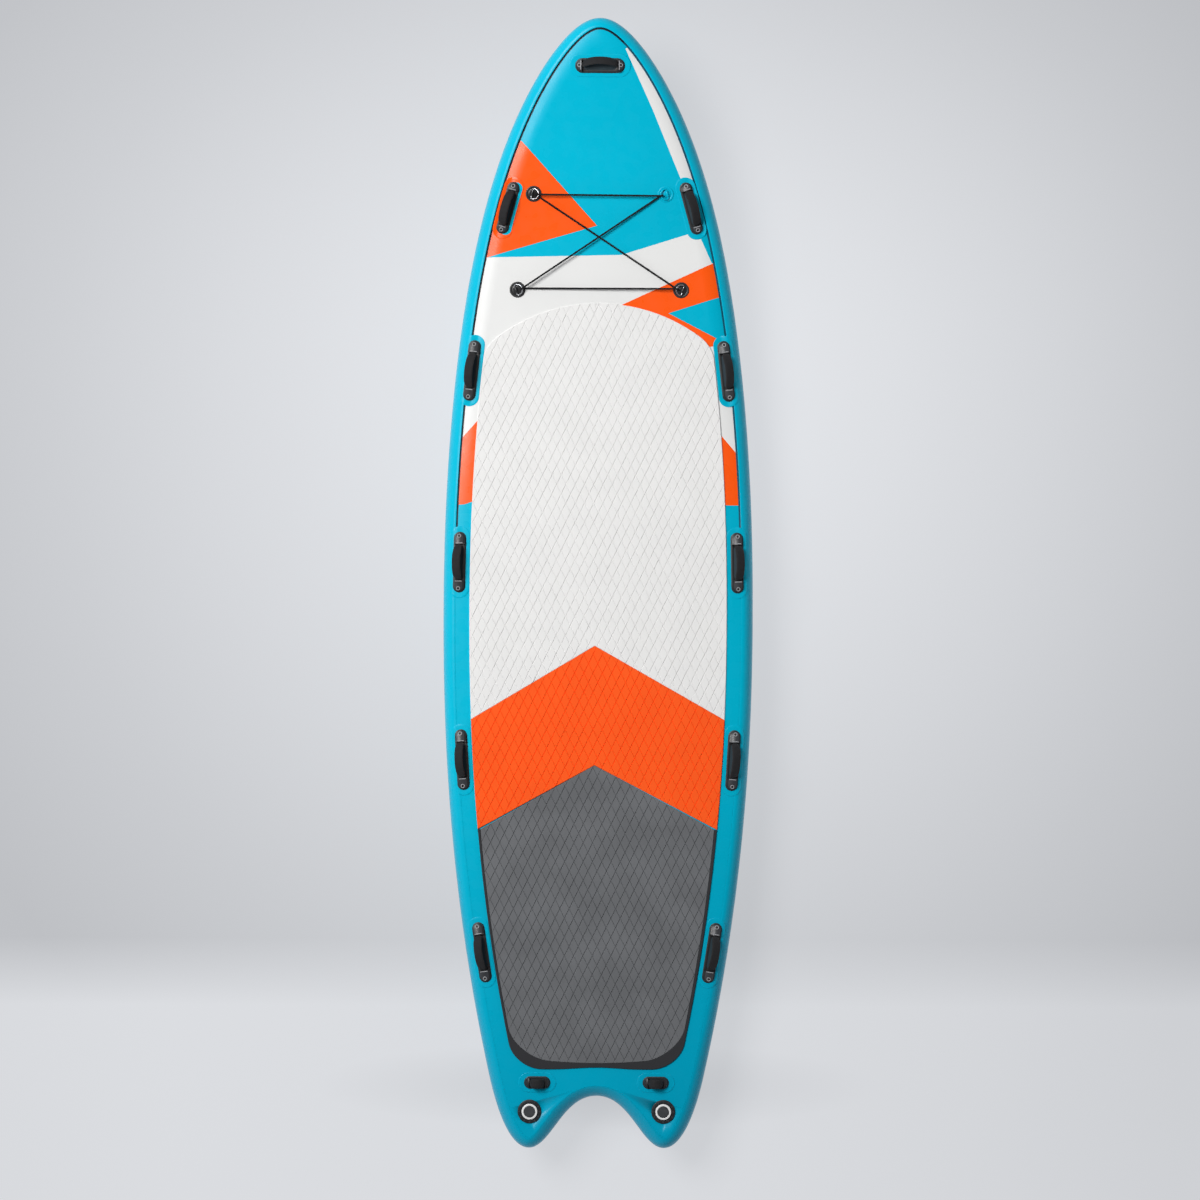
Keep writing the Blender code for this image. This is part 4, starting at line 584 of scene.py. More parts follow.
def tube(path, radius, sides, closed=False):
    points = [Vector(p) for p in path]
    count = len(points)
    tangents = []
    for i in range(count):
        before = points[i - 1] if closed or i > 0 else points[i]
        after = points[(i + 1) % count] if closed or i < count - 1 else points[i]
        tangents.append((after - before).normalized())
    turns = [2 * math.pi * k / sides for k in range(sides)]
    side = tangents[0].orthogonal().normalized()
    rings = []
    for point, tangent in zip(points, tangents):
        side = (side - tangent * side.dot(tangent)).normalized()
        other = tangent.cross(side)
        rings.append([point + (side * math.cos(t) + other * math.sin(t)) * radius for t in turns])
    return lofted(rings, closed)


def stadium(length, width, steps=12):
    radius = width / 2
    straight = length / 2 - radius
    points = []
    for end, start in ((1, 90.0), (-1, -90.0)):
        for i in range(steps + 1):
            turn = math.radians(start - 180.0 * i / steps)
            points.append((end * straight + radius * math.cos(turn), radius * math.sin(turn)))
    return points


def stadium_rings(length, width, steps, levels, middle=0.0):
    """Long rounds one above another, each drawn in by its own amount at its own height."""
    return [[(middle + x, y, z) for x, y in stadium(length - 2 * s, width - 2 * s, steps)]
            for s, z in levels]


def deck_frame(x, y, heading_deg, half_length, half_across):
    """The place of a stiff piece that stands on the bent deck."""
    heading = math.radians(heading_deg)
    reach = abs(half_length * math.sin(heading)) + abs(half_across * math.cos(heading))
    ahead, behind = cad_bend(y + reach), cad_bend(y - reach)
    pitch = math.atan2(ahead - behind, 2 * reach)
    middle = Matrix.Translation((x, y, DECK_TOP + (ahead + behind) / 2))
    return middle @ Matrix.Rotation(pitch, 4, "X") @ Matrix.Rotation(heading, 4, "Z")


def cut(bm, place, normal, faces=None, clear=False):
    """Cuts faces along an upright plane, and may drop what lies on the side the normal points to."""
    faces = bm.faces[:] if faces is None else faces
    geom = list({v for f in faces for v in f.verts}) + list({e for f in faces for e in f.edges})
    bmesh.ops.bisect_plane(bm, geom=geom + list(faces), plane_co=(*place, 0), plane_no=(*normal, 0),
                           dist=1e-6, clear_outer=clear)


def cut_rows(bm, low, high, step, normal=(0, 1)):
    """Cuts the mesh across at even steps."""
    at = low
    while at < high:
        cut(bm, (at * normal[0], at * normal[1]), normal)
        at += step


# Hull

def rail_section(y, lean):
    """Inset and height round the rail, down its outside and up its inside."""
    def on_rail(angle, reach, half):
        turn = math.radians(angle)
        across = max(0.0, math.cos(turn)) ** lean
        return RAIL_REACH - reach * across, THICKNESS / 2 + half * math.sin(turn)

    found = []
    for angle in RAIL_ANGLES:
        inset, z = on_rail(angle, RAIL_REACH, THICKNESS / 2)
        found.append((inset, z - (drop_at(inset, y) if angle > 0 else 0.0)))
    found += [on_rail(angle, RAIL_REACH - SKIN, THICKNESS / 2 - SKIN) for angle in RAIL_INSIDE_ANGLES]
    return found + [(RAIL_REACH, THICKNESS - SKIN - seam_depth(y))]


def rail_lean(i):
    """How soon the rail turns down here: sooner at the tail, soonest in the notch."""
    i = min(i, len(OUTLINE) - i)
    tip = len(STARBOARD) - 1 - NOTCH_STEPS
    tail = smooth((TAIL_LEAN_Y - OUTLINE[i][1]) / TAIL_LEAN_RUN)
    return 1 + TAIL_LEAN * tail + NOTCH_LEAN * smooth((i - tip - NOTCH_LEAN_FIRST) / NOTCH_LEAN_STEPS)


def add_rail():
    rings = []
    for i, ((x, y), step) in enumerate(zip(OUTLINE, STEPS)):
        ring = []
        for inset, height in rail_section(y, rail_lean(i)):
            px, py = x + step.x * inset, y + step.y * inset
            ring.append((px, py, BOTTOM_Z + height + bend(py)))
        rings.append(ring)
    bm = lofted(rings, closed=True)
    bm.faces.ensure_lookup_table()
    per = len(rings[0])
    # Painted seam shade on the rail's faces next to the seam, ahead of its end: near black to port and
    # over the nose, dark teal to starboard
    for i, (x, y) in enumerate(OUTLINE):
        if y > SEAM_END_Y:
            for k in (0, 1, per - 1):
                bm.faces[i * per + k].material_index = 1 if x < SEAM_SPLIT_X else 2
    add_piece("rail_wall", bm, [TEAL, SEAM_SHADE, SEAM_SHADE_TEAL], "rail_band", 60)


# The deck's coloured fields: the material's place among the cloth's own, and the field's corners
GRAPHICS = (
    (1, ((-0.6023, 1.2477), (-0.4247, 1.2477), (0.0833, 1.2588), (0.1089, 1.2667), (0.3395, 1.3381),
         (0.3831, 1.3195), (0.4246, 1.2301), (0.6445, 1.2301), (0.6500, 0.3721), (0.5308, 0.5026),
         (0.4626, 0.5822), (-0.4567, 0.6375), (-0.5274, 0.5579), (-0.6396, 0.4290))),
    (2, ((-0.2943, 1.6789), (-0.0096, 1.3674), (-0.4247, 1.2477), (-0.5645, 1.2477), (-0.5628, 1.6789))),
    (1, ((0.0945, 2.0140), (0.1010, 2.0000), (0.1985, 1.7917), (0.3070, 1.5359), (0.4527, 1.5433),
         (0.3367, 1.8641), (0.1484, 2.0436))),
    (2, ((0.0822, 1.0704), (0.4246, 1.2268), (0.5307, 1.2767), (0.5320, 1.1274), (0.4498, 1.1004),
         (0.2617, 1.0411), (0.4436, 0.9475), (0.4347, 0.9170), (0.3064, 0.9020), (0.1545, 0.9961))),
    (0, ((0.2617, 1.0411), (0.4498, 1.1004), (0.5509, 1.1330), (0.5520, 0.9961), (0.4780, 0.9585),
         (0.4436, 0.9475))),
    (2, ((-0.4567, 0.6375), (-0.5274, 0.5579), (-0.6396, 0.4328), (-0.6391, 0.3096), (-0.5375, 0.3137),
         (-0.5064, 0.3168), (-0.4784, 0.3266), (-0.4117, 0.3342), (-0.4127, 0.6375))),
    (2, ((0.4626, 0.5822), (0.5308, 0.5026), (0.6500, 0.3646), (0.6502, 0.3153), (0.5417, 0.3153),
         (0.4825, 0.3153), (0.3847, 0.3153), (0.3835, 0.6375))),
)


def inside(point, loop):
    x, y = point
    found = False
    for (x0, y0), (x1, y1) in zip(loop, loop[1:] + loop[:1]):
        if (y0 > y) != (y1 > y) and x < x0 + (x1 - x0) * (y - y0) / (y1 - y0):
            found = not found
    return found


def near_faces(bm, a, b):
    """Faces whose box meets the box of this stretch of line."""
    x0, x1 = sorted((a[0], b[0]))
    y0, y1 = sorted((a[1], b[1]))
    found = []
    for f in bm.faces:
        xs = [v.co.x for v in f.verts]
        ys = [v.co.y for v in f.verts]
        if min(xs) <= x1 and max(xs) >= x0 and min(ys) <= y1 and max(ys) >= y0:
            found.append(f)
    return found


def paint_deck(bm):
    """Cuts the coloured fields into the cloth and gives them their materials."""
    for _, polygon in GRAPHICS:
        for a, b in zip(polygon, polygon[1:] + polygon[:1]):
            across = Vector((b[1] - a[1], a[0] - b[0])).normalized()
            cut(bm, a, tuple(across), near_faces(bm, a, b))
    for face in bm.faces:
        if face.material_index < 3:
            centre = face.calc_center_median()
            for index, polygon in GRAPHICS:
                if inside((centre.x, centre.y), polygon):
                    face.material_index = index


def add_deck():
    bm = bmesh.new()
    loops = []
    for share, beyond in [(s, 0.0) for s in SHOULDER_SHARES] + [(1.0, m) for m in DECK_MARGINS]:
        loop = []
        for (x, y), step in zip(OUTLINE, STEPS):
            inset = RAIL_REACH + GAP + (share + beyond) * shoulder_run(y)
            drop = drop_at(RAIL_REACH + share * shoulder_run(y), y)
            loop.append(bm.verts.new((x + step.x * inset, y + step.y * inset, -drop)))
        loops.append(loop)
    for k, (a, b) in enumerate(zip(loops, loops[1:])):
        for i, (x, y) in enumerate(OUTLINE):
            j = (i + 1) % len(a)
            face = bm.faces.new((a[i], a[j], b[j], b[i]))
            # The deck's first strip in from the seam, ahead of its end, is painted with the seam's shade
            if k == 0 and y > SEAM_END_Y:
                face.material_index = 3 if x < SEAM_SPLIT_X else 4
    bm.faces.new(list(reversed(loops[-1])))
    cut_rows(bm, TAIL_Y + NOTCH_DEPTH, NOSE_Y, ROW_STEP)
    paint_deck(bm)
    for v in bm.verts:
        v.co.z += DECK_Z + bend(v.co.y)
    thicken(bm, SKIN)
    deck = new_object("deck_cloth", bm, [TEAL, WHITE, ORANGE, SEAM_SHADE, SEAM_SHADE_TEAL], 30)
    for side, _ in SIDES:
        punch(deck, (side * VALVE_X, VALVE_Y), BARREL_RADIUS + GAP)
    place_piece(deck, "deck_skin")


def doubled(bm):
    """Turns a flat sheet face up and doubles it. Gives its border, the twin and which vertex has which."""
    bmesh.ops.recalc_face_normals(bm, faces=bm.faces[:])
    if sum(f.normal.z for f in bm.faces) < 0:
        bmesh.ops.reverse_faces(bm, faces=bm.faces[:])
    border = [e for e in bm.edges if e.is_boundary]
    made = bmesh.ops.duplicate(bm, geom=bm.faces[:])
    bmesh.ops.reverse_faces(bm, faces=[g for g in made["geom"] if isinstance(g, bmesh.types.BMFace)])
    lower = [g for g in made["geom"] if isinstance(g, bmesh.types.BMVert)]
    return border, lower, made["vert_map"]


def thicken(bm, depth):
    """Gives a one-layer sheet its underside and its edge."""
    border, lower, twins = doubled(bm)
    for v in lower:
        v.co.z -= depth
    for e in border:
        a, b = e.verts
        face = bm.faces.new((a, b, twins[b], twins[a]))
        face.material_index = e.link_faces[0].material_index


def punch(target, centre, radius):
    """Cuts a round hole down through a piece."""
    turns = [2 * math.pi * i / HOLE_SIDES for i in range(HOLE_SIDES)]
    circle = [(centre[0] + radius * math.cos(a), centre[1] + radius * math.sin(a)) for a in turns]
    bm = lofted([[(x, y, z) for x, y in circle] for z in (DECK_Z - HOLE_DEPTH, DECK_Z + HOLE_DEPTH)])
    cutter = new_object("hole_cutter", bm)
    modifier = target.modifiers.new("hole", "BOOLEAN")
    modifier.object, modifier.solver = cutter, "EXACT"
    graph = bpy.context.evaluated_depsgraph_get()
    mesh = bpy.data.meshes.new_from_object(target.evaluated_get(graph))
    target.modifiers.clear()
    target.data = mesh
    bpy.data.objects.remove(cutter)


def add_bottom():
    bm = bmesh.new()
    inset = RAIL_REACH + GAP
    edge = [(x + s.x * inset, y + s.y * inset, 0) for (x, y), s in zip(OUTLINE, STEPS)]
    bm.faces.new([bm.verts.new(p) for p in edge])
    cut_rows(bm, BOTTOM_ROWS_Y, NOSE_Y, ROW_STEP)
    for v in bm.verts:
        v.co.z += BOTTOM_Z + bend(v.co.y)
    made = bmesh.ops.extrude_face_region(bm, geom=bm.faces[:], use_keep_orig=True)
    upper = [g for g in made["geom"] if isinstance(g, bmesh.types.BMVert)]
    bmesh.ops.translate(bm, vec=(0, 0, SKIN), verts=upper)
    add_piece("bottom_cloth", bm, [TEAL], "bottom_skin")


def add_core():
    """The solid's two base cloths and yarns, welded and rolled down with the deck along the seam."""
    bm = bmesh.new()
    bm.from_mesh(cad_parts["drop_stitch_core"].data)
    bmesh.ops.remove_doubles(bm, verts=bm.verts[:], dist=1e-5)
    xs, ys = np.array(OUTLINE).T
    for v in bm.verts:
        if v.co.z - bend(v.co.y) > DECK_Z - CORE_TOP_BAND:
            inset = float(np.min(np.hypot(xs - v.co.x, ys - v.co.y)))
            v.co.z -= drop_at(max(inset, RAIL_REACH), v.co.y)
    add_piece("drop_stitch_cloths", bm, [BASE_CLOTH], "drop_stitch_core", 30)


# Deck pads

def pad_half_width(y, inset):
    slope = (half_width(y + SLOPE_STEP) - half_width(y - SLOPE_STEP)) / (2 * SLOPE_STEP)
    return half_width(y) - inset * math.sqrt(1 + slope * slope)


def pad_side(top_y, bottom_y, inset):
    count = max(1, round((top_y - bottom_y) / PAD_SIDE_STEP))
    ys = [top_y + (bottom_y - top_y) * i / count for i in range(count + 1)]
    return [(pad_half_width(y, inset), y) for y in ys]


def tail_edge(inset, top_y, inner):
    """The starboard edge of the rear pad, down its side and round its corner to the centre line."""
    low = TAIL_Y + PAD_TAIL_GAP
    radius = PAD_INNER_CORNER if inner else PAD_TAIL_CORNER
    corner_x = pad_half_width(low, inset)

    def bottom(x):
        if inner:
            return x, low + BORDER_MIDDLE + BORDER_RISE * (x / BORDER_RISE_HALF) ** 2
        return x, low + BORDER_ARCH * math.cos(math.pi / 2 * min(1.0, x / BORDER_ARCH_HALF)) ** 2

    last_x = corner_x - radius
    corner_y = bottom(corner_x)[1] if inner else low
    side = pad_side(top_y, corner_y + radius, inset)
    end = bottom(last_x)
    along = (Vector(end) - Vector(bottom(last_x - BORDER_SLOPE_STEP))).normalized()
    handle = tuple(Vector(end) + along * radius * ROUND_HANDLE)
    (x, y), steps = side[-1], PAD_CURVE_STEPS
    curve = bezier(side[-1], (x - PAD_CORNER_LEAN, y - radius * ROUND_HANDLE), handle, end, steps)
    return side + curve + [bottom(last_x * (1 - k / steps)) for k in range(1, steps + 1)]


def diamond_lattice(x0, x1, y0, y1):
    """A flat grid of diamonds with grooves between them, larger than the pad that it is cut to."""
    w, h = DIAMOND_WIDTH, DIAMOND_HEIGHT
    shares = (0.0, GROOVE_SHARE, 1 - GROOVE_SHARE)
    bm = bmesh.new()
    verts = {}

    def vert(i, a, j, b):
        key = (i, a, j, b)
        if key not in verts:
            u, v = i + shares[a], j + shares[b]
            z = -max(GROOVE_DEPTH * (b == 0), CROSS_GROOVE_DEPTH * (a == 0))
            verts[key] = bm.verts.new(((u + v) * w / 2, (u - v) * h / 2, z))
        return verts[key]

    def after(i, a):
        return (i, a + 1) if a < 2 else (i + 1, 0)

    m = int(max(abs(x0), abs(x1)) / w + max(abs(y0), abs(y1)) / h) + 3
    for i in range(-m, m):
        for j in range(-m, m):
            x, y = (i + j + 1) * w / 2, (i - j) * h / 2
            if not (x0 - w <= x <= x1 + w and y0 - h <= y <= y1 + h):
                continue
            for a in range(3):
                for b in range(3):
                    here, right, up = (i, a), after(i, a), after(j, b)
                    bm.faces.new((vert(*here, j, b), vert(*right, j, b), vert(*right, *up),
                                  vert(*here, *up)))
    return bm


def clip(bm, loop):
    """Keeps what lies inside a convex clockwise loop."""
    for (ax, ay), (bx, by) in zip(loop, loop[1:] + loop[:1]):
        out = Vector((ay - by, bx - ax))
        if out.length < 1e-7:
            continue
        out.normalize()
        faces = [f for f in bm.faces
                 if max((v.co.x - ax) * out.x + (v.co.y - ay) * out.y for v in f.verts) > -1e-6]
        if faces:
            cut(bm, (ax, ay), tuple(out), faces, clear=True)


def add_grooved_pad(name, node, halves, material):
    bm = bmesh.new()
    for loop in halves:
        xs, ys = zip(*loop)
        part = diamond_lattice(min(xs), max(xs), min(ys), max(ys))
        clip(part, loop)
        absorb(bm, part)
    bmesh.ops.remove_doubles(bm, verts=bm.verts[:], dist=2e-5)
    finish_pad(bm, name, node, material)


def finish_pad(bm, name, node, material):
    """Gives a flat pad its rolled edge, its side and its underside, and lays it on the deck."""
    top = PAD_THICKNESS
    for v in bm.verts:
        v.co.z += top
    border, lower, twins = doubled(bm)
    inward = {}
    for e in border:
        a, b = e.verts
        across = Vector((b.co.y - a.co.y, a.co.x - b.co.x, 0)).normalized()
        if across.dot(e.link_faces[0].calc_center_median() - a.co) < 0:
            across = -across
        for v in (a, b):
            inward[v] = inward.get(v, Vector((0, 0, 0))) + across
    for v in lower:
        v.co.z = 0.0
    middle = {}
    for v, across in inward.items():
        middle[v] = bm.verts.new((v.co.x, v.co.y, top - PAD_ROLL_DROP))
        v.co += across.normalized() * PAD_ROLL
        v.co.z = top - PAD_EDGE_DROP
    for e in border:
        a, b = e.verts
        bm.faces.new((a, b, middle[b], middle[a]))
        bm.faces.new((middle[a], middle[b], twins[b], twins[a]))
    for v in bm.verts:
        v.co.z += DECK_TOP + bend(v.co.y)
    pad = add_piece(name, bm, [material], node, 16)


def halves_of(top, side, bottom_y):
    """The two convex halves of a pad on either side of the chevrons' line, from its starboard edge."""
    tip = (CHEVRON_X, bottom_y)
    port_top = [(-x, y) for x, y in reversed(top) if x > 0]
    port_side = [(-x, y) for x, y in reversed(side) if -x < CHEVRON_X - GAP]
    return [[*top, *side, tip], [tip, *port_side, *port_top, top[0]]]


def add_pads():
    front, rear = TAIL_Y + FRONT_CHEVRON, TAIL_Y + REAR_CHEVRON
    front_edge, rear_edge = front - FRONT_FALL, rear - REAR_FALL
    gap = GAP / 2
    arc_top = NOSE_Y - PAD_NOSE_GAP
    arc_end = pad_half_width(arc_top - PAD_NOSE_CORNER, PAD_INSET)
    arc = [(CHEVRON_X, arc_top)]
    for i in range(1, PAD_NOSE_STEPS + 1):
        x = (arc_end - PAD_NOSE_CORNER / 2) * i / PAD_NOSE_STEPS
        arc.append((x, arc_top - PAD_NOSE_RADIUS + math.sqrt(PAD_NOSE_RADIUS**2 - x * x)))
    (x, y), (out, down) = arc[-1], PAD_NOSE_HANDLE
    side = pad_side(y - PAD_NOSE_CORNER, front_edge + gap, PAD_INSET)
    handle = (side[0][0], side[0][1] + PAD_SIDE_HANDLE)
    corner = bezier(arc[-1], (x + out, y - down), handle, side[0], PAD_CURVE_STEPS // 2)
    halves = halves_of(arc, corner[:-1] + side, front + gap)
    add_grooved_pad("front_pad", "pad_front", halves, PAD_WHITE)
    side = pad_side(front_edge - gap, rear_edge + gap, PAD_INSET)
    halves = halves_of([(CHEVRON_X, front - gap)], side, rear + gap)
    add_grooved_pad("middle_pad", "pad_middle", halves, PAD_ORANGE)
    inner = tail_edge(PAD_INSET + BORDER_SIDE + GAP, rear_edge - gap, True)
    halves = halves_of([(CHEVRON_X, rear - gap)], inner, inner[-1][1])
    add_grooved_pad("rear_pad", "pad_rear", halves, PAD_GREY)
    add_border(rear_edge - gap)


def add_border(top_y):
    def even(line):
        """The whole edge, its port side mirrored, in even steps."""
        line = line + [(-x, y) for x, y in reversed(line[:-1])]
        total = run_lengths(line)
        at = np.linspace(0, total[-1], BORDER_POINTS)
        xs, ys = (np.interp(at, total, values) for values in zip(*line))
        return list(zip(xs.tolist(), ys.tolist()))

    bm = bmesh.new()
    edges = (tail_edge(PAD_INSET, top_y, False), tail_edge(PAD_INSET + BORDER_SIDE, top_y, True))
    outer, inner = ([bm.verts.new((x, y, 0)) for x, y in even(edge)] for edge in edges)
    for i in range(BORDER_POINTS - 1):
        bm.faces.new((outer[i], outer[i + 1], inner[i + 1], inner[i]))
    finish_pad(bm, "pad_edge_strip", "pad_border", PAD_DARK)


# Handles

def on_hull(along, inset, lift):
    """The point this far round the outline, this far inside it, above the hull."""
    x, y, sx, sy = (np.interp(along, ARC, values) for values in (ARC_X, ARC_Y, STEP_X, STEP_Y))
    cosine = max(0.0, 1 - inset / RAIL_REACH)
    sine = math.sqrt(1 - cosine * cosine)
    normal = Vector((cosine / RAIL_REACH, sine / (THICKNESS / 2))).normalized()
    drop = drop_at(inset, y, lift > PATCH_THICKNESS / 2)
    y += sy * inset
    z = BOTTOM_Z + THICKNESS / 2 * (1 + sine) + bend(y) - drop
    out = normal.x * lift
    return Vector((x + sx * inset - sx * out, y - sy * out, z + normal.y * lift))


def along_at(y, inset):
    """How far round the outline the hull reaches y, this far inside it."""
    last = TAIL_Y + TAIL_CORNER_LENGTH / 2
    ys = [p[1] + STEPS[i].y * inset for i, p in enumerate(STARBOARD) if p[1] > last]
    return float(np.interp(-y, [-v for v in ys], ARC[: len(ys)]))


def patch_mesh(length, width, to_place):
    """A thin oval of cloth with a soft edge, laid where to_place puts its flat points."""
    long, wide = length + 2 * PATCH_END_MARGIN, width + 2 * PATCH_SIDE_MARGIN
    bm = lofted(stadium_rings(long, wide, 20, PATCH_ROUND))
    cut_rows(bm, -long / 2, long / 2, PATCH_LONG_STEP, (1, 0))
    cut_rows(bm, -wide / 2, wide / 2, PATCH_WIDE_STEP)
    for v in bm.verts:
        v.co = to_place(v.co.x, v.co.y, v.co.z + GAP)
    return bm


def end_outline(start, last, half):
    """An end pad seen from above: straight at its start, round at its tip."""
    tip = [p for p in stadium(2 * last, 2 * half) if p[0] > start + GAP]
    return [(start, half), *tip, (start, -half)]


def drawn_in(outline, centre, shrink, height, lift):
    """The outline pulled towards its centre, this far above a height that goes by x."""
    points = [Vector(p) - (Vector(p) - centre).normalized() * shrink for p in outline]
    return [(x, y, height(x) + lift) for x, y in points]


def end_pad(start, last, level, half, foot, height):
    """The raised end of a base, with rounded edges."""
    outline, centre = end_outline(start, last, half), Vector(((start + last) / 2, 0.0))
    rings = [[(x, y, foot) for x, y in outline]]
    rings += [drawn_in(outline, centre, shrink, height, lift) for shrink, lift in END_PAD_ROUND]
    bm = lofted(rings)
    cut(bm, (level, 0), (1, 0))
    return bm


def mark_end(bm, place, start, last, half, height, small):
    """The plate let into an end pad, its grey partly painted sheen, with a raised ring round a dark hole
    painted as shade and a raised bar; a small pad's plate is black, with grey strips as painted glints.
    """
    outline = end_outline(start + MARK_INSET, last - MARK_TIP_GAP, half)
    centre = Vector(((start + last) / 2, 0.0))
    rings = [drawn_in(outline, centre, shrink, height, lift) for shrink, lift in PLATE_ROUND]
    join_bm(bm, moved(lofted(rings), place), PLAIN if small else PLATE)
    if small:
        # Thin grey strips at the tip of a small pad: painted glints
        z = height(last - GLINT_FOOT) + GLINT_LIFT
        for side, _ in SIDES:
            glint = [(last - GLINT_X + x, side * (y - GLINT_Y), z) for x, y in GLINT_STEPS]
            join_bm(bm, moved(tube(glint, GLINT_WIRE, 8), place), PLATE)
        return

    def circle(radius, lift, turns):
        found = [(last - MARK_RING_INSET + radius * math.cos(t), radius * math.sin(t)) for t in turns]
        return [(x, y, height(x) + lift) for x, y in found]

    turns = np.linspace(0, 2 * math.pi, 29)[:-1]
    ring = circle(MARK_RING_RADIUS, MARK_LIFT, turns)
    join_bm(bm, moved(tube(ring, MARK_RING_WIRE, 8, closed=True), place), MARK)
    # The hole is a dark disc: painted shade
    hole = [circle(radius, lift, turns[::2]) for radius, lift in MARK_HOLE]
    join_bm(bm, moved(lofted(hole), place), HOLE)
    x, reach = start + MARK_BAR_INSET, half - MARK_BAR_MARGIN
    bar = [(x, y, height(x) + MARK_LIFT) for y in np.linspace(-reach, reach, 9)]
    join_bm(bm, moved(tube(bar, MARK_BAR_WIRE, 10), place), MARK)


def frame_mesh(length, width, grip_half, off_centre):
    """The moulded frame: a rounded rim about its slot, two end pads and their embossed marks."""
    floor = PATCH_THICKNESS - BASE_SINK
    top = floor + BASE_PLATE
    outer = ((0.0, floor - FRAME_SKIRT), *((s, top + z) for s, z in FRAME_ROUND))
    slot = width - 2 * BASE_RIM
    rings = stadium_rings(length, width, 16, outer)
    rings += stadium_rings(2 * grip_half, slot, 16, [(-s, z) for s, z in reversed(outer)])
    bm = lofted(rings, closed=True)
    # A web across the slot, coloured as painted shade of the patch below it
    web = ((0, floor - SLOT_WEB_DEPTH), (0, floor + SLOT_WEB))
    join_bm(bm, lofted(stadium_rings(2 * grip_half + SLOT_OVERLAP, slot + SLOT_OVERLAP, 16, web)), WEB)
    start, last = grip_half + ELBOW_REACH, length / 2 - END_PAD_RIM
    level = start + PIN_LENGTH + PIN_WALL
    high, low = top + HINGE_HEIGHT + PIN_RADIUS + PIN_WALL, top + END_PAD_TIP

    def height(x):
        """The top of an end pad: level over the pin, then down to the tip."""
        return high + (low - high) * max(0.0, (x - level) / (last - level))

    for end, turn_deg in ((1, 0.0), (-1, 180.0)):
        turn = Matrix.Rotation(math.radians(turn_deg), 4, "Z")
        pad = end_pad(start, last, level, width / 2 - END_PAD_RIM, floor + END_PAD_FOOT, height)
        join_bm(bm, moved(pad, turn))
        aside = Matrix.Translation((0, MARK_SHIFT * off_centre * end, 0))
        small = grip_half == SHORT_GRIP[0]
        mark_end(bm, turn @ aside, start, last, width / 2 - MARK_RIM, height, small)
    return bm


def grip_mesh(grip_half, height, width):
    """A padded arch: a flat sleeve with rolled edges, its ends turned out into round pins."""
    pins = [(grip_half + ELBOW_REACH + PIN_LENGTH, 0.0, PIN_RADIUS, PIN_RADIUS),
            (grip_half + ELBOW_REACH * 0.8, 0.0, PIN_RADIUS, PIN_RADIUS),
            (grip_half + ELBOW_REACH * 0.3, height * 0.02, PIN_RADIUS * 1.2, PIN_RADIUS * 1.1),
            (grip_half, height * ELBOW_RISE, ELBOW_RADIUS, ELBOW_RADIUS)]
    first = math.radians(GRIP_FIRST_DEG)
    wide = width / 2 * (GRIP_WIDEN if grip_half > SHORT_GRIP[0] else 1.0)
    power = 2 / GRIP_SQUARENESS
    path = [(-x, z, w, t, 1.0) for x, z, w, t in pins]
    for i in range(GRIP_STEPS):
        turn = math.pi - first - (math.pi - 2 * first) * i / (GRIP_STEPS - 1)
        x = grip_half * math.copysign(abs(math.cos(turn)) ** power, math.cos(turn))
        rise = math.sin(turn) ** power
        grown = (rise - GRIP_WIDE_RISE) / GRIP_WIDE_RUN
        spread = min(1.0, GRIP_END_WIDTH + (1 - GRIP_END_WIDTH) * grown)
        flat = min(1.0, max(0.0, (rise - GRIP_FLAT_RISE) / GRIP_FLAT_RUN))
        path.append((x, height * rise, wide * spread, GRIP_THICKNESS / 2, 1.0 - GRIP_FLATNESS * flat))
    path += [(x, z, w, t, 1.0) for x, z, w, t in reversed(pins)]
    rings = []
    for i, (x, z, half, thick, flat) in enumerate(path):
        before, after = path[max(0, i - 1)], path[min(len(path) - 1, i + 1)]
        along = Vector((after[0] - before[0], after[1] - before[1])).normalized()
        ring = []
        for k in range(GRIP_SIDES):
            turn = 2 * math.pi * (k + 0.5) / GRIP_SIDES
            across = half * math.copysign(abs(math.cos(turn)) ** flat, math.cos(turn))
            lift = thick * math.copysign(abs(math.sin(turn)) ** max(flat, GRIP_EDGE_POWER), math.sin(turn))
            ring.append((x - along.y * lift, across, z + along.x * lift))
        rings.append(ring)
    return lofted(rings)


def add_handle(name, place, patch, patch_material, size, grip, lean_deg, off_centre):
    base = f"handle_base_{name}"
    add_piece(f"patch_{name}", patch, [patch_material], base, 50)
    bm = moved(frame_mesh(*size, grip[0], off_centre), place)
    materials = [RUBBER, GREY_SHEEN, EMBOSSED, HOLE_SHADE, SLOT_SHADE]
    add_piece(f"frame_{name}", bm, materials, base, 50)
    hinge = place @ Matrix.Translation((0, 0, BASE_PLATE + PATCH_THICKNESS - BASE_SINK + HINGE_HEIGHT))
    bm = moved(grip_mesh(*grip), hinge @ Matrix.Rotation(math.radians(-lean_deg), 4, "X"))
    sleeve = add_piece(f"grip_{name}", bm, [GRIP], f"handle_grip_{name}", 60, f"grip_{name}")


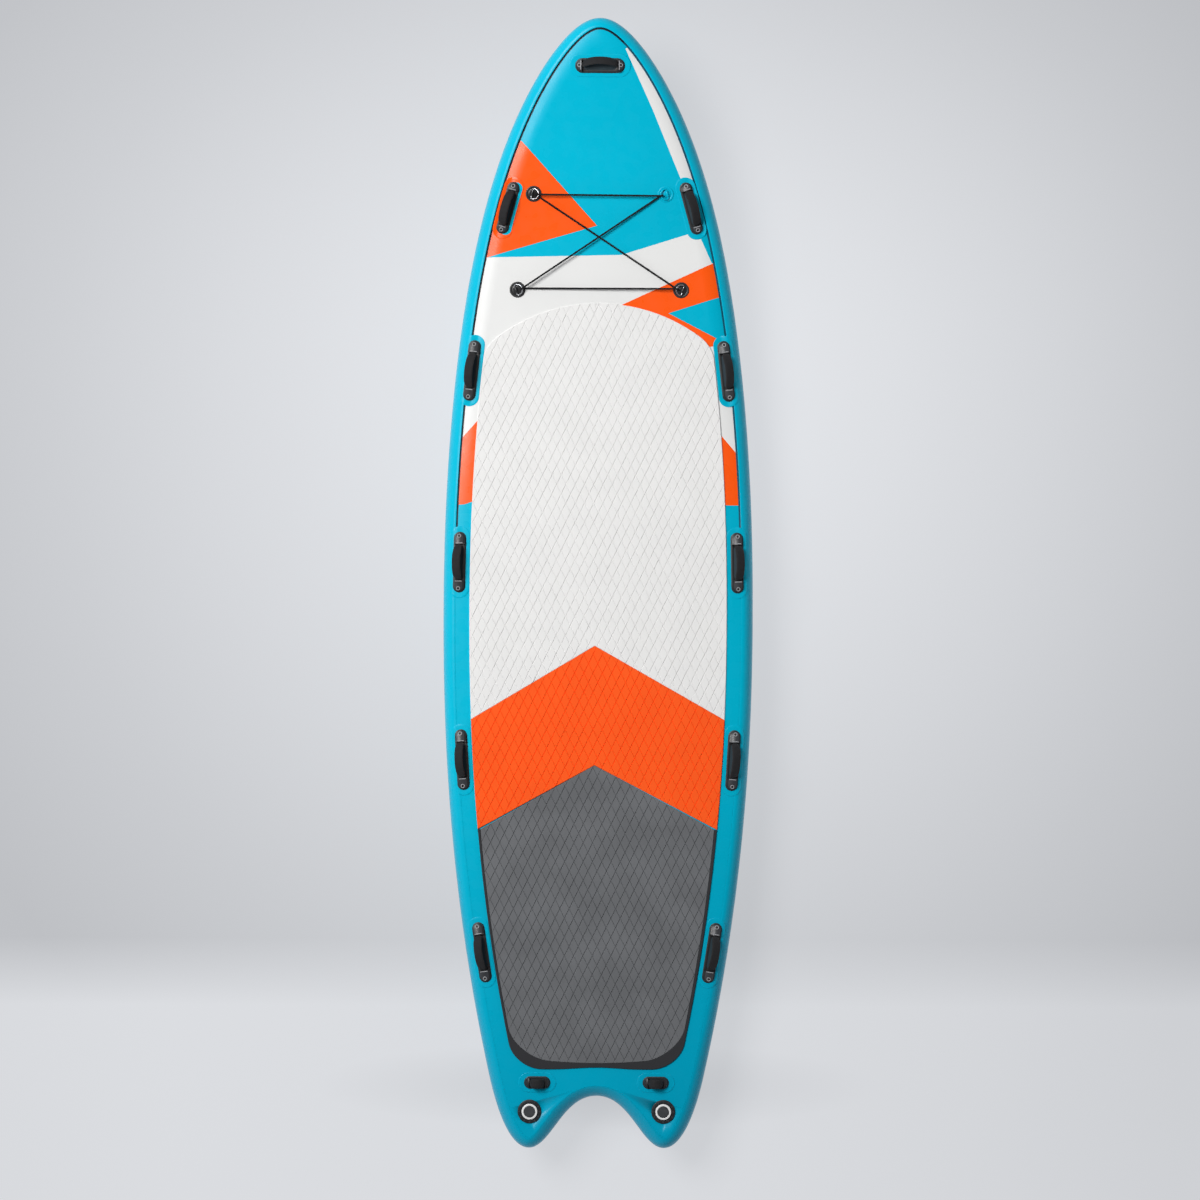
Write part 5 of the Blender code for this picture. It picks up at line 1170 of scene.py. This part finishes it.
def add_side_handle(i, y, length, inset):
    centre = along_at(y, inset)
    fore, aft = (on_hull(centre + end * length / 4, inset, 0) for end in (-1, 1))
    x, place_y = (fore.x + aft.x) / 2, (fore.y + aft.y) / 2
    fall = math.degrees(math.atan2(fore.y - aft.y, aft.x - fore.x))
    for side, label in SIDES:
        def lay(a, b, lift):
            p = on_hull(centre + a, inset + b, lift)
            return side * p.x, p.y, p.z

        place = deck_frame(side * x, place_y, -side * fall, length / 2, BASE_WIDTH / 2)
        colour = TEAL
        if (label, i) == ("left", 0):
            colour = ORANGE
            rim = patch_mesh(length + CRESCENT_GROW - 2 * PATCH_END_MARGIN,
                             BASE_WIDTH - 2 * PATCH_SIDE_MARGIN,
                             lambda a, b, lift: lay(a, b + CRESCENT_SHIFT, lift + PATCH_SEEN))
            add_piece("patch_rim_left_1", rim, [TEAL], "handle_base_left_1", 50)
        add_handle(f"{label}_{i + 1}", place, patch_mesh(length, BASE_WIDTH, lay), colour,
                   (length, BASE_WIDTH), LONG_GRIP, SIDE_LEAN_DEG, 1)


def add_handles():
    for i, (y, (length, inset)) in enumerate(zip(SIDE_HANDLE_Y, SIDE_HANDLES)):
        add_side_handle(i, y, length, inset)
    ends = [("nose", 0.0, *NOSE_HANDLE, NOSE_BASE_WIDTH, LONG_GRIP, NOSE_LEAN_DEG, 1)]
    ends += [(f"tail_{label}", side * TAIL_HANDLE_X, *TAIL_HANDLE, BASE_WIDTH, SHORT_GRIP, 0.0, 0)
             for side, label in SIDES]
    for name, x, y, length, width, grip, lean, off_centre in ends:
        patch = patch_mesh(length, width, lambda a, b, lift: (x + a, y + b, DECK_Z + bend(y + b) + lift))
        place = deck_frame(x, y, 0.0, length / 2, width / 2)
        add_handle(name, place, patch, TEAL, (length, width), grip, lean, off_centre)


# Lashing rings and cord

BAR_HEIGHT = RING_PATCH_THICKNESS + RING_WIRE_RADIUS + GAP + KEEPER_WALL / 2
RING_TILT = math.asin((RING_APEX_HEIGHT - BAR_HEIGHT) / RING_REACH)
RING_APEX = RING_REACH * math.cos(RING_TILT) - RING_BAR_OFFSET


def ring_places():
    front_x = half_width(FRONT_RING_Y) - FRONT_RING_INSET
    rear_x = half_width(REAR_RING_Y) - REAR_RING_INSET
    half_turn = math.degrees(math.atan2(FRONT_RING_Y - REAR_RING_Y, front_x + rear_x)) / 2
    rings = {
        "front_left": (-front_x, FRONT_RING_Y, -half_turn),
        "front_right": (front_x, FRONT_RING_Y, 180 + half_turn),
        "rear_left": (-rear_x, REAR_RING_Y, half_turn),
        "rear_right": (rear_x, REAR_RING_Y, 180 - half_turn),
    }
    return {name: deck_frame(*at, RING_PATCH_RADIUS, RING_PATCH_RADIUS) for name, at in rings.items()}


def lash_patch():
    """A round patch with a raised rim, and the keeper that holds the ring's bar."""
    rise, radius = RING_PATCH_THICKNESS, RING_PATCH_RADIUS
    rim = [(radius - s, rise * share) for s, share in RING_PATCH_RIM]
    bm = turned([(0, 0), (radius, 0), *rim, (0, rise)], 48)
    reach = RING_WIRE_RADIUS + GAP + KEEPER_WALL
    foot, half = KEEPER_FOOT * reach, KEEPER_WIDTH / 2
    toe = [(foot, rise + KEEPER_TOE_LIFT), (foot * KEEPER_TOE, rise * KEEPER_TOE_SINK)]
    turns = np.linspace(KEEPER_FIRST_TURN, math.pi - KEEPER_FIRST_TURN, 11)
    arch = [(-x, z) for x, z in reversed(toe)]
    arch += [(-reach * math.cos(t), BAR_HEIGHT + reach * math.sin(t)) for t in turns] + toe
    edge, fall = KEEPER_ROUND
    rows = ((-half, fall), (-half + edge, 0.0), (half - edge, 0.0), (half, fall))
    join_bm(bm, lofted([[(x - RING_BAR_OFFSET, y, z - drop) for x, z in arch] for y, drop in rows]))
    return bm


def ring_mesh():
    """A D-ring of round wire, its bar along y."""
    path = [(0.0, y, 0.0) for y in np.linspace(-RING_HALF_BAR, RING_HALF_BAR, 7)]
    for i in range(23):
        turn = math.pi / 2 - math.pi * i / 22
        path.append((RING_CORNER + (RING_REACH - RING_CORNER) * math.cos(turn),
                     (RING_HALF_BAR + RING_CORNER) * math.sin(turn), 0.0))
    return tube(path, RING_WIRE_RADIUS, 14, closed=True)


def add_rings():
    for name, place in ring_places().items():
        cloth, metal, slot = RUBBER, STEEL, "black_rubber"
        if name == "front_right":
            cloth, metal, slot = TEAL, TEAL, "coated_teal"
        bm = moved(lash_patch(), place)
        add_piece(f"lash_patch_{name}", bm, [cloth], f"ring_patch_{name}", 45)
        bar = Matrix.Translation((-RING_BAR_OFFSET, 0, BAR_HEIGHT)) @ Matrix.Rotation(-RING_TILT, 4, "Y")
        bm, node = moved(ring_mesh(), place @ bar), f"ring_{name}"
        add_piece(f"d_ring_{name}", bm, [metal], node, 60, node)


def ring_turn(place, first_deg, last_deg, shift=0.0, clearance=CORD_BACK_CLEARANCE):
    """The cord's way round the back of a ring."""
    across = RING_WIRE_RADIUS + CORD_RADIUS + clearance
    rise = RING_WIRE_RADIUS + CORD_RADIUS + CORD_RISE_CLEARANCE
    steps = math.ceil(abs(last_deg - first_deg) / 180 * CORD_TURN_STEPS)
    found = []
    for i in range(steps + 1):
        turn = math.radians(first_deg + (last_deg - first_deg) * i / steps)
        found.append(place @ Vector((RING_APEX + across * math.cos(turn), shift,
                                     RING_APEX_HEIGHT + rise * math.sin(turn))))
    return found


def cord_path():
    at = ring_places()
    half = (KNOT_WIDTH / 2 - CORD_RADIUS) * CORD_END_SPREAD
    start = ring_turn(at["front_left"], 180, 90, half, KNOT_BACK_CLEARANCE)
    front_right, rear_left, rear_right = (
        ring_turn(at[name], 90, 270) for name in ("front_right", "rear_left", "rear_right"))
    end = ring_turn(at["front_left"], 270, 180, -half, KNOT_BACK_CLEARANCE)
    a, b = front_right[-1], rear_left[0]
    c, d = rear_right[-1], end[0]
    over = a.lerp(b, a.x / (a.x - b.x))
    under = c.lerp(d, c.x / (c.x - d.x))
    over.z = max(over.z, under.z + 2 * CORD_RADIUS + GAP)
    return start + front_right + [over] + rear_left + rear_right + end


def knot_mesh():
    """A trefoil knot just behind the front left ring, in the ring's own place."""
    back = RING_APEX - RING_WIRE_RADIUS - GAP - KNOT_LENGTH / 2
    loops = []
    for i in range(60):
        t = 2 * math.pi * i / 60
        along = (math.sin(t) + 2 * math.sin(2 * t)) / 3 * (KNOT_LENGTH / 2 - KNOT_STRAND)
        across = (math.cos(t) - 2 * math.cos(2 * t)) / 3 * (KNOT_WIDTH / 2 - KNOT_STRAND)
        lift = math.sin(3 * t) * (KNOT_HEIGHT / 2 - KNOT_STRAND)
        loops.append((back + along, across, RING_APEX_HEIGHT - lift))
    return tube(loops, KNOT_STRAND, 12, closed=True)


def add_cord():
    path = cord_path()
    bm = tube(path, CORD_RADIUS, 14)
    line = add_piece("laced_cord", bm, [CORD_CLOTH], "bungee_cord", 60)
    bm = moved(knot_mesh(), ring_places()["front_left"])
    knot = add_piece("cord_knot", bm, [CORD_CLOTH], None, 60)


# Valves

def rounded(radius, top, rounding):
    """The points of a profile's rounded edge, in from this radius and down from this height."""
    return [(radius - inward, top - down) for inward, down in rounding]


def flange_mesh():
    """The valve's body: a lugged flange, the barrel, its seat and the spider that guides the stem."""
    radius, height = FLANGE_RADIUS, FLANGE_HEIGHT
    bm = turned([
        (BARREL_BORE, height), *((r, height - down) for r, down in FLANGE_GROOVE),
        *rounded(radius, height, FLANGE_ROUND), (radius, 0),
        (BARREL_RADIUS, 0), (BARREL_RADIUS, -BARREL_DEPTH), (SEAT_RADIUS, -BARREL_DEPTH),
        (SEAT_RADIUS, BARREL_FLOOR_TOP), (BARREL_BORE, BARREL_FLOOR_TOP)])
    levels = ((0, height / 2), (0, height + LUG_EDGE_RISE), (LUG_ROUND, height + LUG_RISE))
    # The lugs take the second material, a grey that paints their glint on the black flange
    for i in range(FLANGE_LUGS):
        lug = lofted(stadium_rings(LUG_LENGTH, LUG_WIDTH, 8, levels, LUG_CIRCLE))
        join_bm(bm, moved(lug, Matrix.Rotation(2 * math.pi * i / FLANGE_LUGS, 4, "Z")), 1)
    join_bm(bm, turned([(STEM_BORE, -BARREL_DEPTH), (HUB_RADIUS, -BARREL_DEPTH),
                        (HUB_RADIUS, BARREL_FLOOR_TOP), (STEM_BORE, BARREL_FLOOR_TOP)], 32))
    low, high = GAP - BARREL_DEPTH, BARREL_FLOOR_TOP - GAP
    for i in range(4):
        arm = lofted([[(x, -ARM_HALF, low), (x, ARM_HALF, low), (x, ARM_HALF, high), (x, -ARM_HALF, high)]
                      for x in (HUB_RADIUS - ARM_OVERLAP, SEAT_RADIUS + ARM_OVERLAP)])
        join_bm(bm, moved(arm, Matrix.Rotation(math.pi / 4 + math.pi / 2 * i, 4, "Z")))
    return bm


def collar_mesh():
    mouth, top = COLLAR_MOUTH, COLLAR_TOP
    return turned([
        (COLLAR_RADIUS, COLLAR_BASE), *rounded(COLLAR_RADIUS, top, COLLAR_ROUND),
        (mouth + COLLAR_MOUTH_ROUND, top), (mouth, top - COLLAR_MOUTH_ROUND), (mouth, LEDGE),
        (COLLAR_SLEEVE_BORE, LEDGE), (COLLAR_SLEEVE_BORE, -COLLAR_SLEEVE_DEPTH),
        (BARREL_BORE - GAP, -COLLAR_SLEEVE_DEPTH), (BARREL_BORE - GAP, COLLAR_BASE)])


def cap_mesh():
    """A round lid with a shallow ring on top and a grooved plug below."""
    radius, plug = COLLAR_MOUTH - CAP_CLEARANCE, COLLAR_SLEEVE_BORE - CAP_CLEARANCE
    top, low, deep = LEDGE + GAP + CAP_THICKNESS, LEDGE + GAP, CAP_PLUG_DEPTH
    return turned([
        *((r, top - down) for r, down in CAP_FACE), *rounded(radius, top, CAP_ROUND), (radius, low),
        *((plug - inward, low - deep * share) for inward, share in CAP_PLUG_GROOVE),
        (plug - GAP, low - deep), (plug - CAP_PLUG_WALL, low - deep), (plug - CAP_PLUG_WALL, low),
        (0, low)])


def coil_mesh(foot, head):
    """A round wire spring that lies level at both ends."""
    path = []
    for i in range(SPRING_TURNS * 24 + 1):
        turn = 2 * math.pi * i / 24
        climb = min(1.0, max(0.0, (i / 24 - 0.5) / (SPRING_TURNS - 1)))
        path.append((SPRING_RADIUS * math.cos(turn), SPRING_RADIUS * math.sin(turn),
                     foot + (head - foot) * climb))
    return tube(path, SPRING_WIRE_RADIUS, 8)


def add_valves():
    foot, head = BARREL_FLOOR_TOP + GAP, BUTTON_UNDERSIDE - GAP
    for side, name in SIDES:
        middle = (side * VALVE_X, VALVE_Y, DECK_TOP)

        def put(label, bm, materials, node, smooth_deg=35, body="board"):
            bm = moved(bm, Matrix.Translation(middle))
            return add_piece(f"{label}_{name}", bm, materials, node, smooth_deg, body)

        collar, cap = f"valve_collar_{name}", f"valve_cap_{name}"
        # The flange's second material paints the lugs' glints
        put("valve_flange", flange_mesh(), [VALVE_BLACK, GREY_SHEEN], f"valve_body_{name}")
        put("valve_ring", collar_mesh(), [VALVE_WHITE], collar, body=collar)
        put("valve_lid", cap_mesh(), [VALVE_GREY], cap, body=cap)
        bm = coil_mesh(foot + SPRING_WIRE_RADIUS, head - SPRING_WIRE_RADIUS)
        coil = put("valve_coil", bm, [STEEL], f"valve_spring_{name}", 60)
        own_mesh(coil)


# Fins

def blade(top_z, front_y):
    """A raked fin that hangs from top_z to the ground, with a rounded leading edge."""
    rings = []
    for i in range(28):
        t = i / 27
        sweep = (FIN_BASE - FIN_TIP) * FIN_TIP_SWEEP * t**4
        lead = front_y - FIN_LEAD_RAKE * t**FIN_LEAD_POWER - sweep
        trail = front_y - FIN_BASE - (FIN_TRAIL_RAKE - FIN_BASE) * t**FIN_TRAIL_POWER - sweep
        half = (FIN_ROOT_THICKNESS - FIN_THINNING * t) / 2
        starboard = []
        for k in range(15):
            share = (k / 14) ** FOIL_CROWDING
            swell = min(1.0, FOIL_SWELL * math.sqrt(share) * (1 - share) ** FOIL_TAPER) if k else 0.0
            across = half * max(swell, FOIL_TAIL * (k == 14))
            starboard.append((across, lead + (trail - lead) * share, top_z * (1 - t)))
        rings.append(starboard + [(-x, y, z) for x, y, z in reversed(starboard[1:])])
    return lofted(rings)


def fin_foot(middle, x):
    """The oval foot that is glued to the hull's bottom."""
    (length, width), top = SIDE_FIN_FOOT, BOTTOM_Z - GAP
    return lofted([[(x + b * (1 - s / width * 2), middle + a * (1 - s / length * 2), top - down)
                    for a, b in stadium(length, width, 20)] for s, down in FIN_FOOT_ROUND])


def keyed_bar(front_y, rear_y):
    """The bar along the fin's top that slides in the box's slot."""
    floor = BOTTOM_Z - GAP - FIN_BOX_HEIGHT
    head, neck = KEY_HALF - GAP, KEY_NECK_HALF - GAP
    low, top = floor + KEY_LIP + GAP, floor + KEY_LIP + KEY_HEIGHT - GAP
    port = [(-neck, floor), (-neck, low), (-head, low), (-head, top - KEY_ROUND), (-head + KEY_ROUND, top)]
    section = port + [(-x, z) for x, z in reversed(port)]
    return lofted([[(x, y, z) for x, z in section] for y in (front_y, rear_y)])


def add_fins():
    top = BOTTOM_Z - GAP
    front, middle = TAIL_Y + FIN_BOX_FRONT - GAP, TAIL_Y + SIDE_FIN_MIDDLE
    bm = blade(top - CENTRE_FIN_SINK, front)
    join_bm(bm, keyed_bar(front, front - FIN_BASE))
    add_piece("moulded_fin_centre", bm, [FIN_BLACK], "fin_centre", body="fin_centre")
    for side, name in SIDES:
        x = side * SIDE_FIN_X
        bm = fin_foot(middle, x)
        fin = blade(top - SIDE_FIN_SINK, middle + FIN_BASE / 2)
        join_bm(bm, moved(fin, Matrix.Translation((x, 0, 0))))
        add_piece(f"moulded_fin_{name}", bm, [FIN_BLACK], f"fin_side_{name}")


def dress_carried():
    for name, material in CARRIED.items():
        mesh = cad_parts[name].data
        mesh.materials.clear()
        mesh.materials.append(material)


# Stage and light

def add_camera():
    """Straight over the middle of the board, as the photograph stands in front of it."""
    data = bpy.data.cameras.new("camera")
    data.lens, data.sensor_width = CAMERA_LENS, SENSOR
    camera = bpy.data.objects.new("camera", data)
    camera.location = CAMERA_PLACE
    camera.rotation_euler = (0, 0, CAMERA_ROLL)
    bpy.context.scene.collection.objects.link(camera)
    bpy.context.scene.camera = camera


def shade(level):
    """A pale, slightly cool grey."""
    return srgb(level - 2, level, level + 4)


def oval(tree, place, radii):
    """The floor's own coordinates, from this place, in these radii."""
    shift = tuple(-at / radius for at, radius in zip(place, radii))
    return mapped(tree, scale=(1 / radii[0], 1 / radii[1], 1), shift=(*shift, 0))


def paper_colour(tree, glow):
    """A wall that darkens away from the board, above a sweep, with a faint shade at the tail."""
    wall, sweep = ([(at, shade(level)) for at, level in tones] for tones in (WALL_TONES, SWEEP_TONES))
    place = parted(tree, mapped(tree))
    aside = maths(tree, "ABSOLUTE", maths(tree, "ADD", place["X"], SWEEP_SHIFT))
    horizon = ramp(tree, place["Y"], 0, 1, HORIZON_Y - HORIZON_SOFTNESS, HORIZON_Y + HORIZON_SOFTNESS)
    paper = mixed(tree, colour_ramp(tree, ramp(tree, aside, 0, 1, 0, SWEEP_REACH), sweep),
                  colour_ramp(tree, ramp(tree, glow, 0, 1, 0, WALL_REACH), wall), horizon)
    dusk = distance(tree, oval(tree, (0, TAIL_SHADE_Y), TAIL_SHADE_RADII))
    depth = ramp(tree, dusk, TAIL_SHADE_STRENGTH, 0, *TAIL_SHADE_EDGE)
    return mixed(tree, paper, (*shade(TAIL_SHADE), 1), depth)


def add_floor():
    """Studio paper: a glow round the board, and a brighter sweep below a soft horizon."""
    bm = bmesh.new()
    bmesh.ops.create_grid(bm, x_segments=1, y_segments=1, size=FLOOR_HALF)
    floor = new_object("studio_floor", bm)
    floor.location = (0, 0, -FLOOR_DROP)
    made, tree, shader = shader_tree("studio paper", srgb(210, 211, 216), 0.9, specular=0.0)
    place = parted(tree, oval(tree, GLOW_PLACE, GLOW_RADII))
    ahead = maths(tree, "MAXIMUM", maths(tree, "MULTIPLY", place["Y"], GLOW_STRETCH), place["Y"])
    shaped = add_node(tree, "ShaderNodeCombineXYZ", {"X": place["X"], "Y": ahead})["Vector"]
    glow = distance(tree, shaped)
    paper = paper_colour(tree, glow)
    feed(tree, shader, {"Base Color": paper})
    bump(tree, shader, [(noise(tree, mapped(tree), 120), 0.0002)])
    rays = add_node(tree, "ShaderNodeLightPath", {})
    seen = maths(tree, "MAXIMUM", rays["Is Camera Ray"], rays["Is Glossy Ray"])
    seen = maths(tree, "MAXIMUM", seen, rays["Is Transmission Ray"])
    share = maths(tree, "MULTIPLY", seen, ramp(tree, glow, FLOOR_GLOW, 1, *GLOW_FADE))
    light = add_node(tree, "ShaderNodeEmission", {"Color": paper})["Emission"]
    both = add_node(tree, "ShaderNodeMixShader", {"Fac": share, 1: shader.outputs["BSDF"], 2: light})
    feed(tree, tree.nodes["Material Output"], {"Surface": both["Shader"]})
    floor.data.materials.append(made)


def add_light():
    """A soft key from the upper left, and a sky that is dark overhead, as in a room behind a camera."""
    world = bpy.data.worlds.new("studio")
    bpy.context.scene.world = world
    world.use_nodes = True
    tree = world.node_tree
    height = parted(tree, add_node(tree, "ShaderNodeTexCoord", {})["Generated"])["Z"]
    stops = [(at, [level * c for c in SKY_TINT]) for at, level in SKY_STOPS]
    feed(tree, tree.nodes["Background"], {"Color": colour_ramp(tree, height, stops)})
    data = bpy.data.lights.new("key", "AREA")
    data.shape, data.energy, data.color = "RECTANGLE", LAMP_WATTS, (1.0, 0.99, 0.98)
    data.size = data.size_y = LAMP_SIZE
    lamp = bpy.data.objects.new("key", data)
    lamp.location = LAMP_PLACE
    towards = Vector(LAMP_TARGET) - Vector(LAMP_PLACE)
    lamp.rotation_euler = towards.to_track_quat("-Z", "Y").to_euler()
    bpy.context.scene.collection.objects.link(lamp)


add_camera()
add_rail()
add_deck()
add_bottom()
add_core()
add_pads()
add_handles()
add_rings()
add_cord()
add_valves()
add_fins()
dress_carried()
add_floor()
add_light()

view_settings = bpy.context.scene.view_settings
view_settings.view_transform = "Standard"
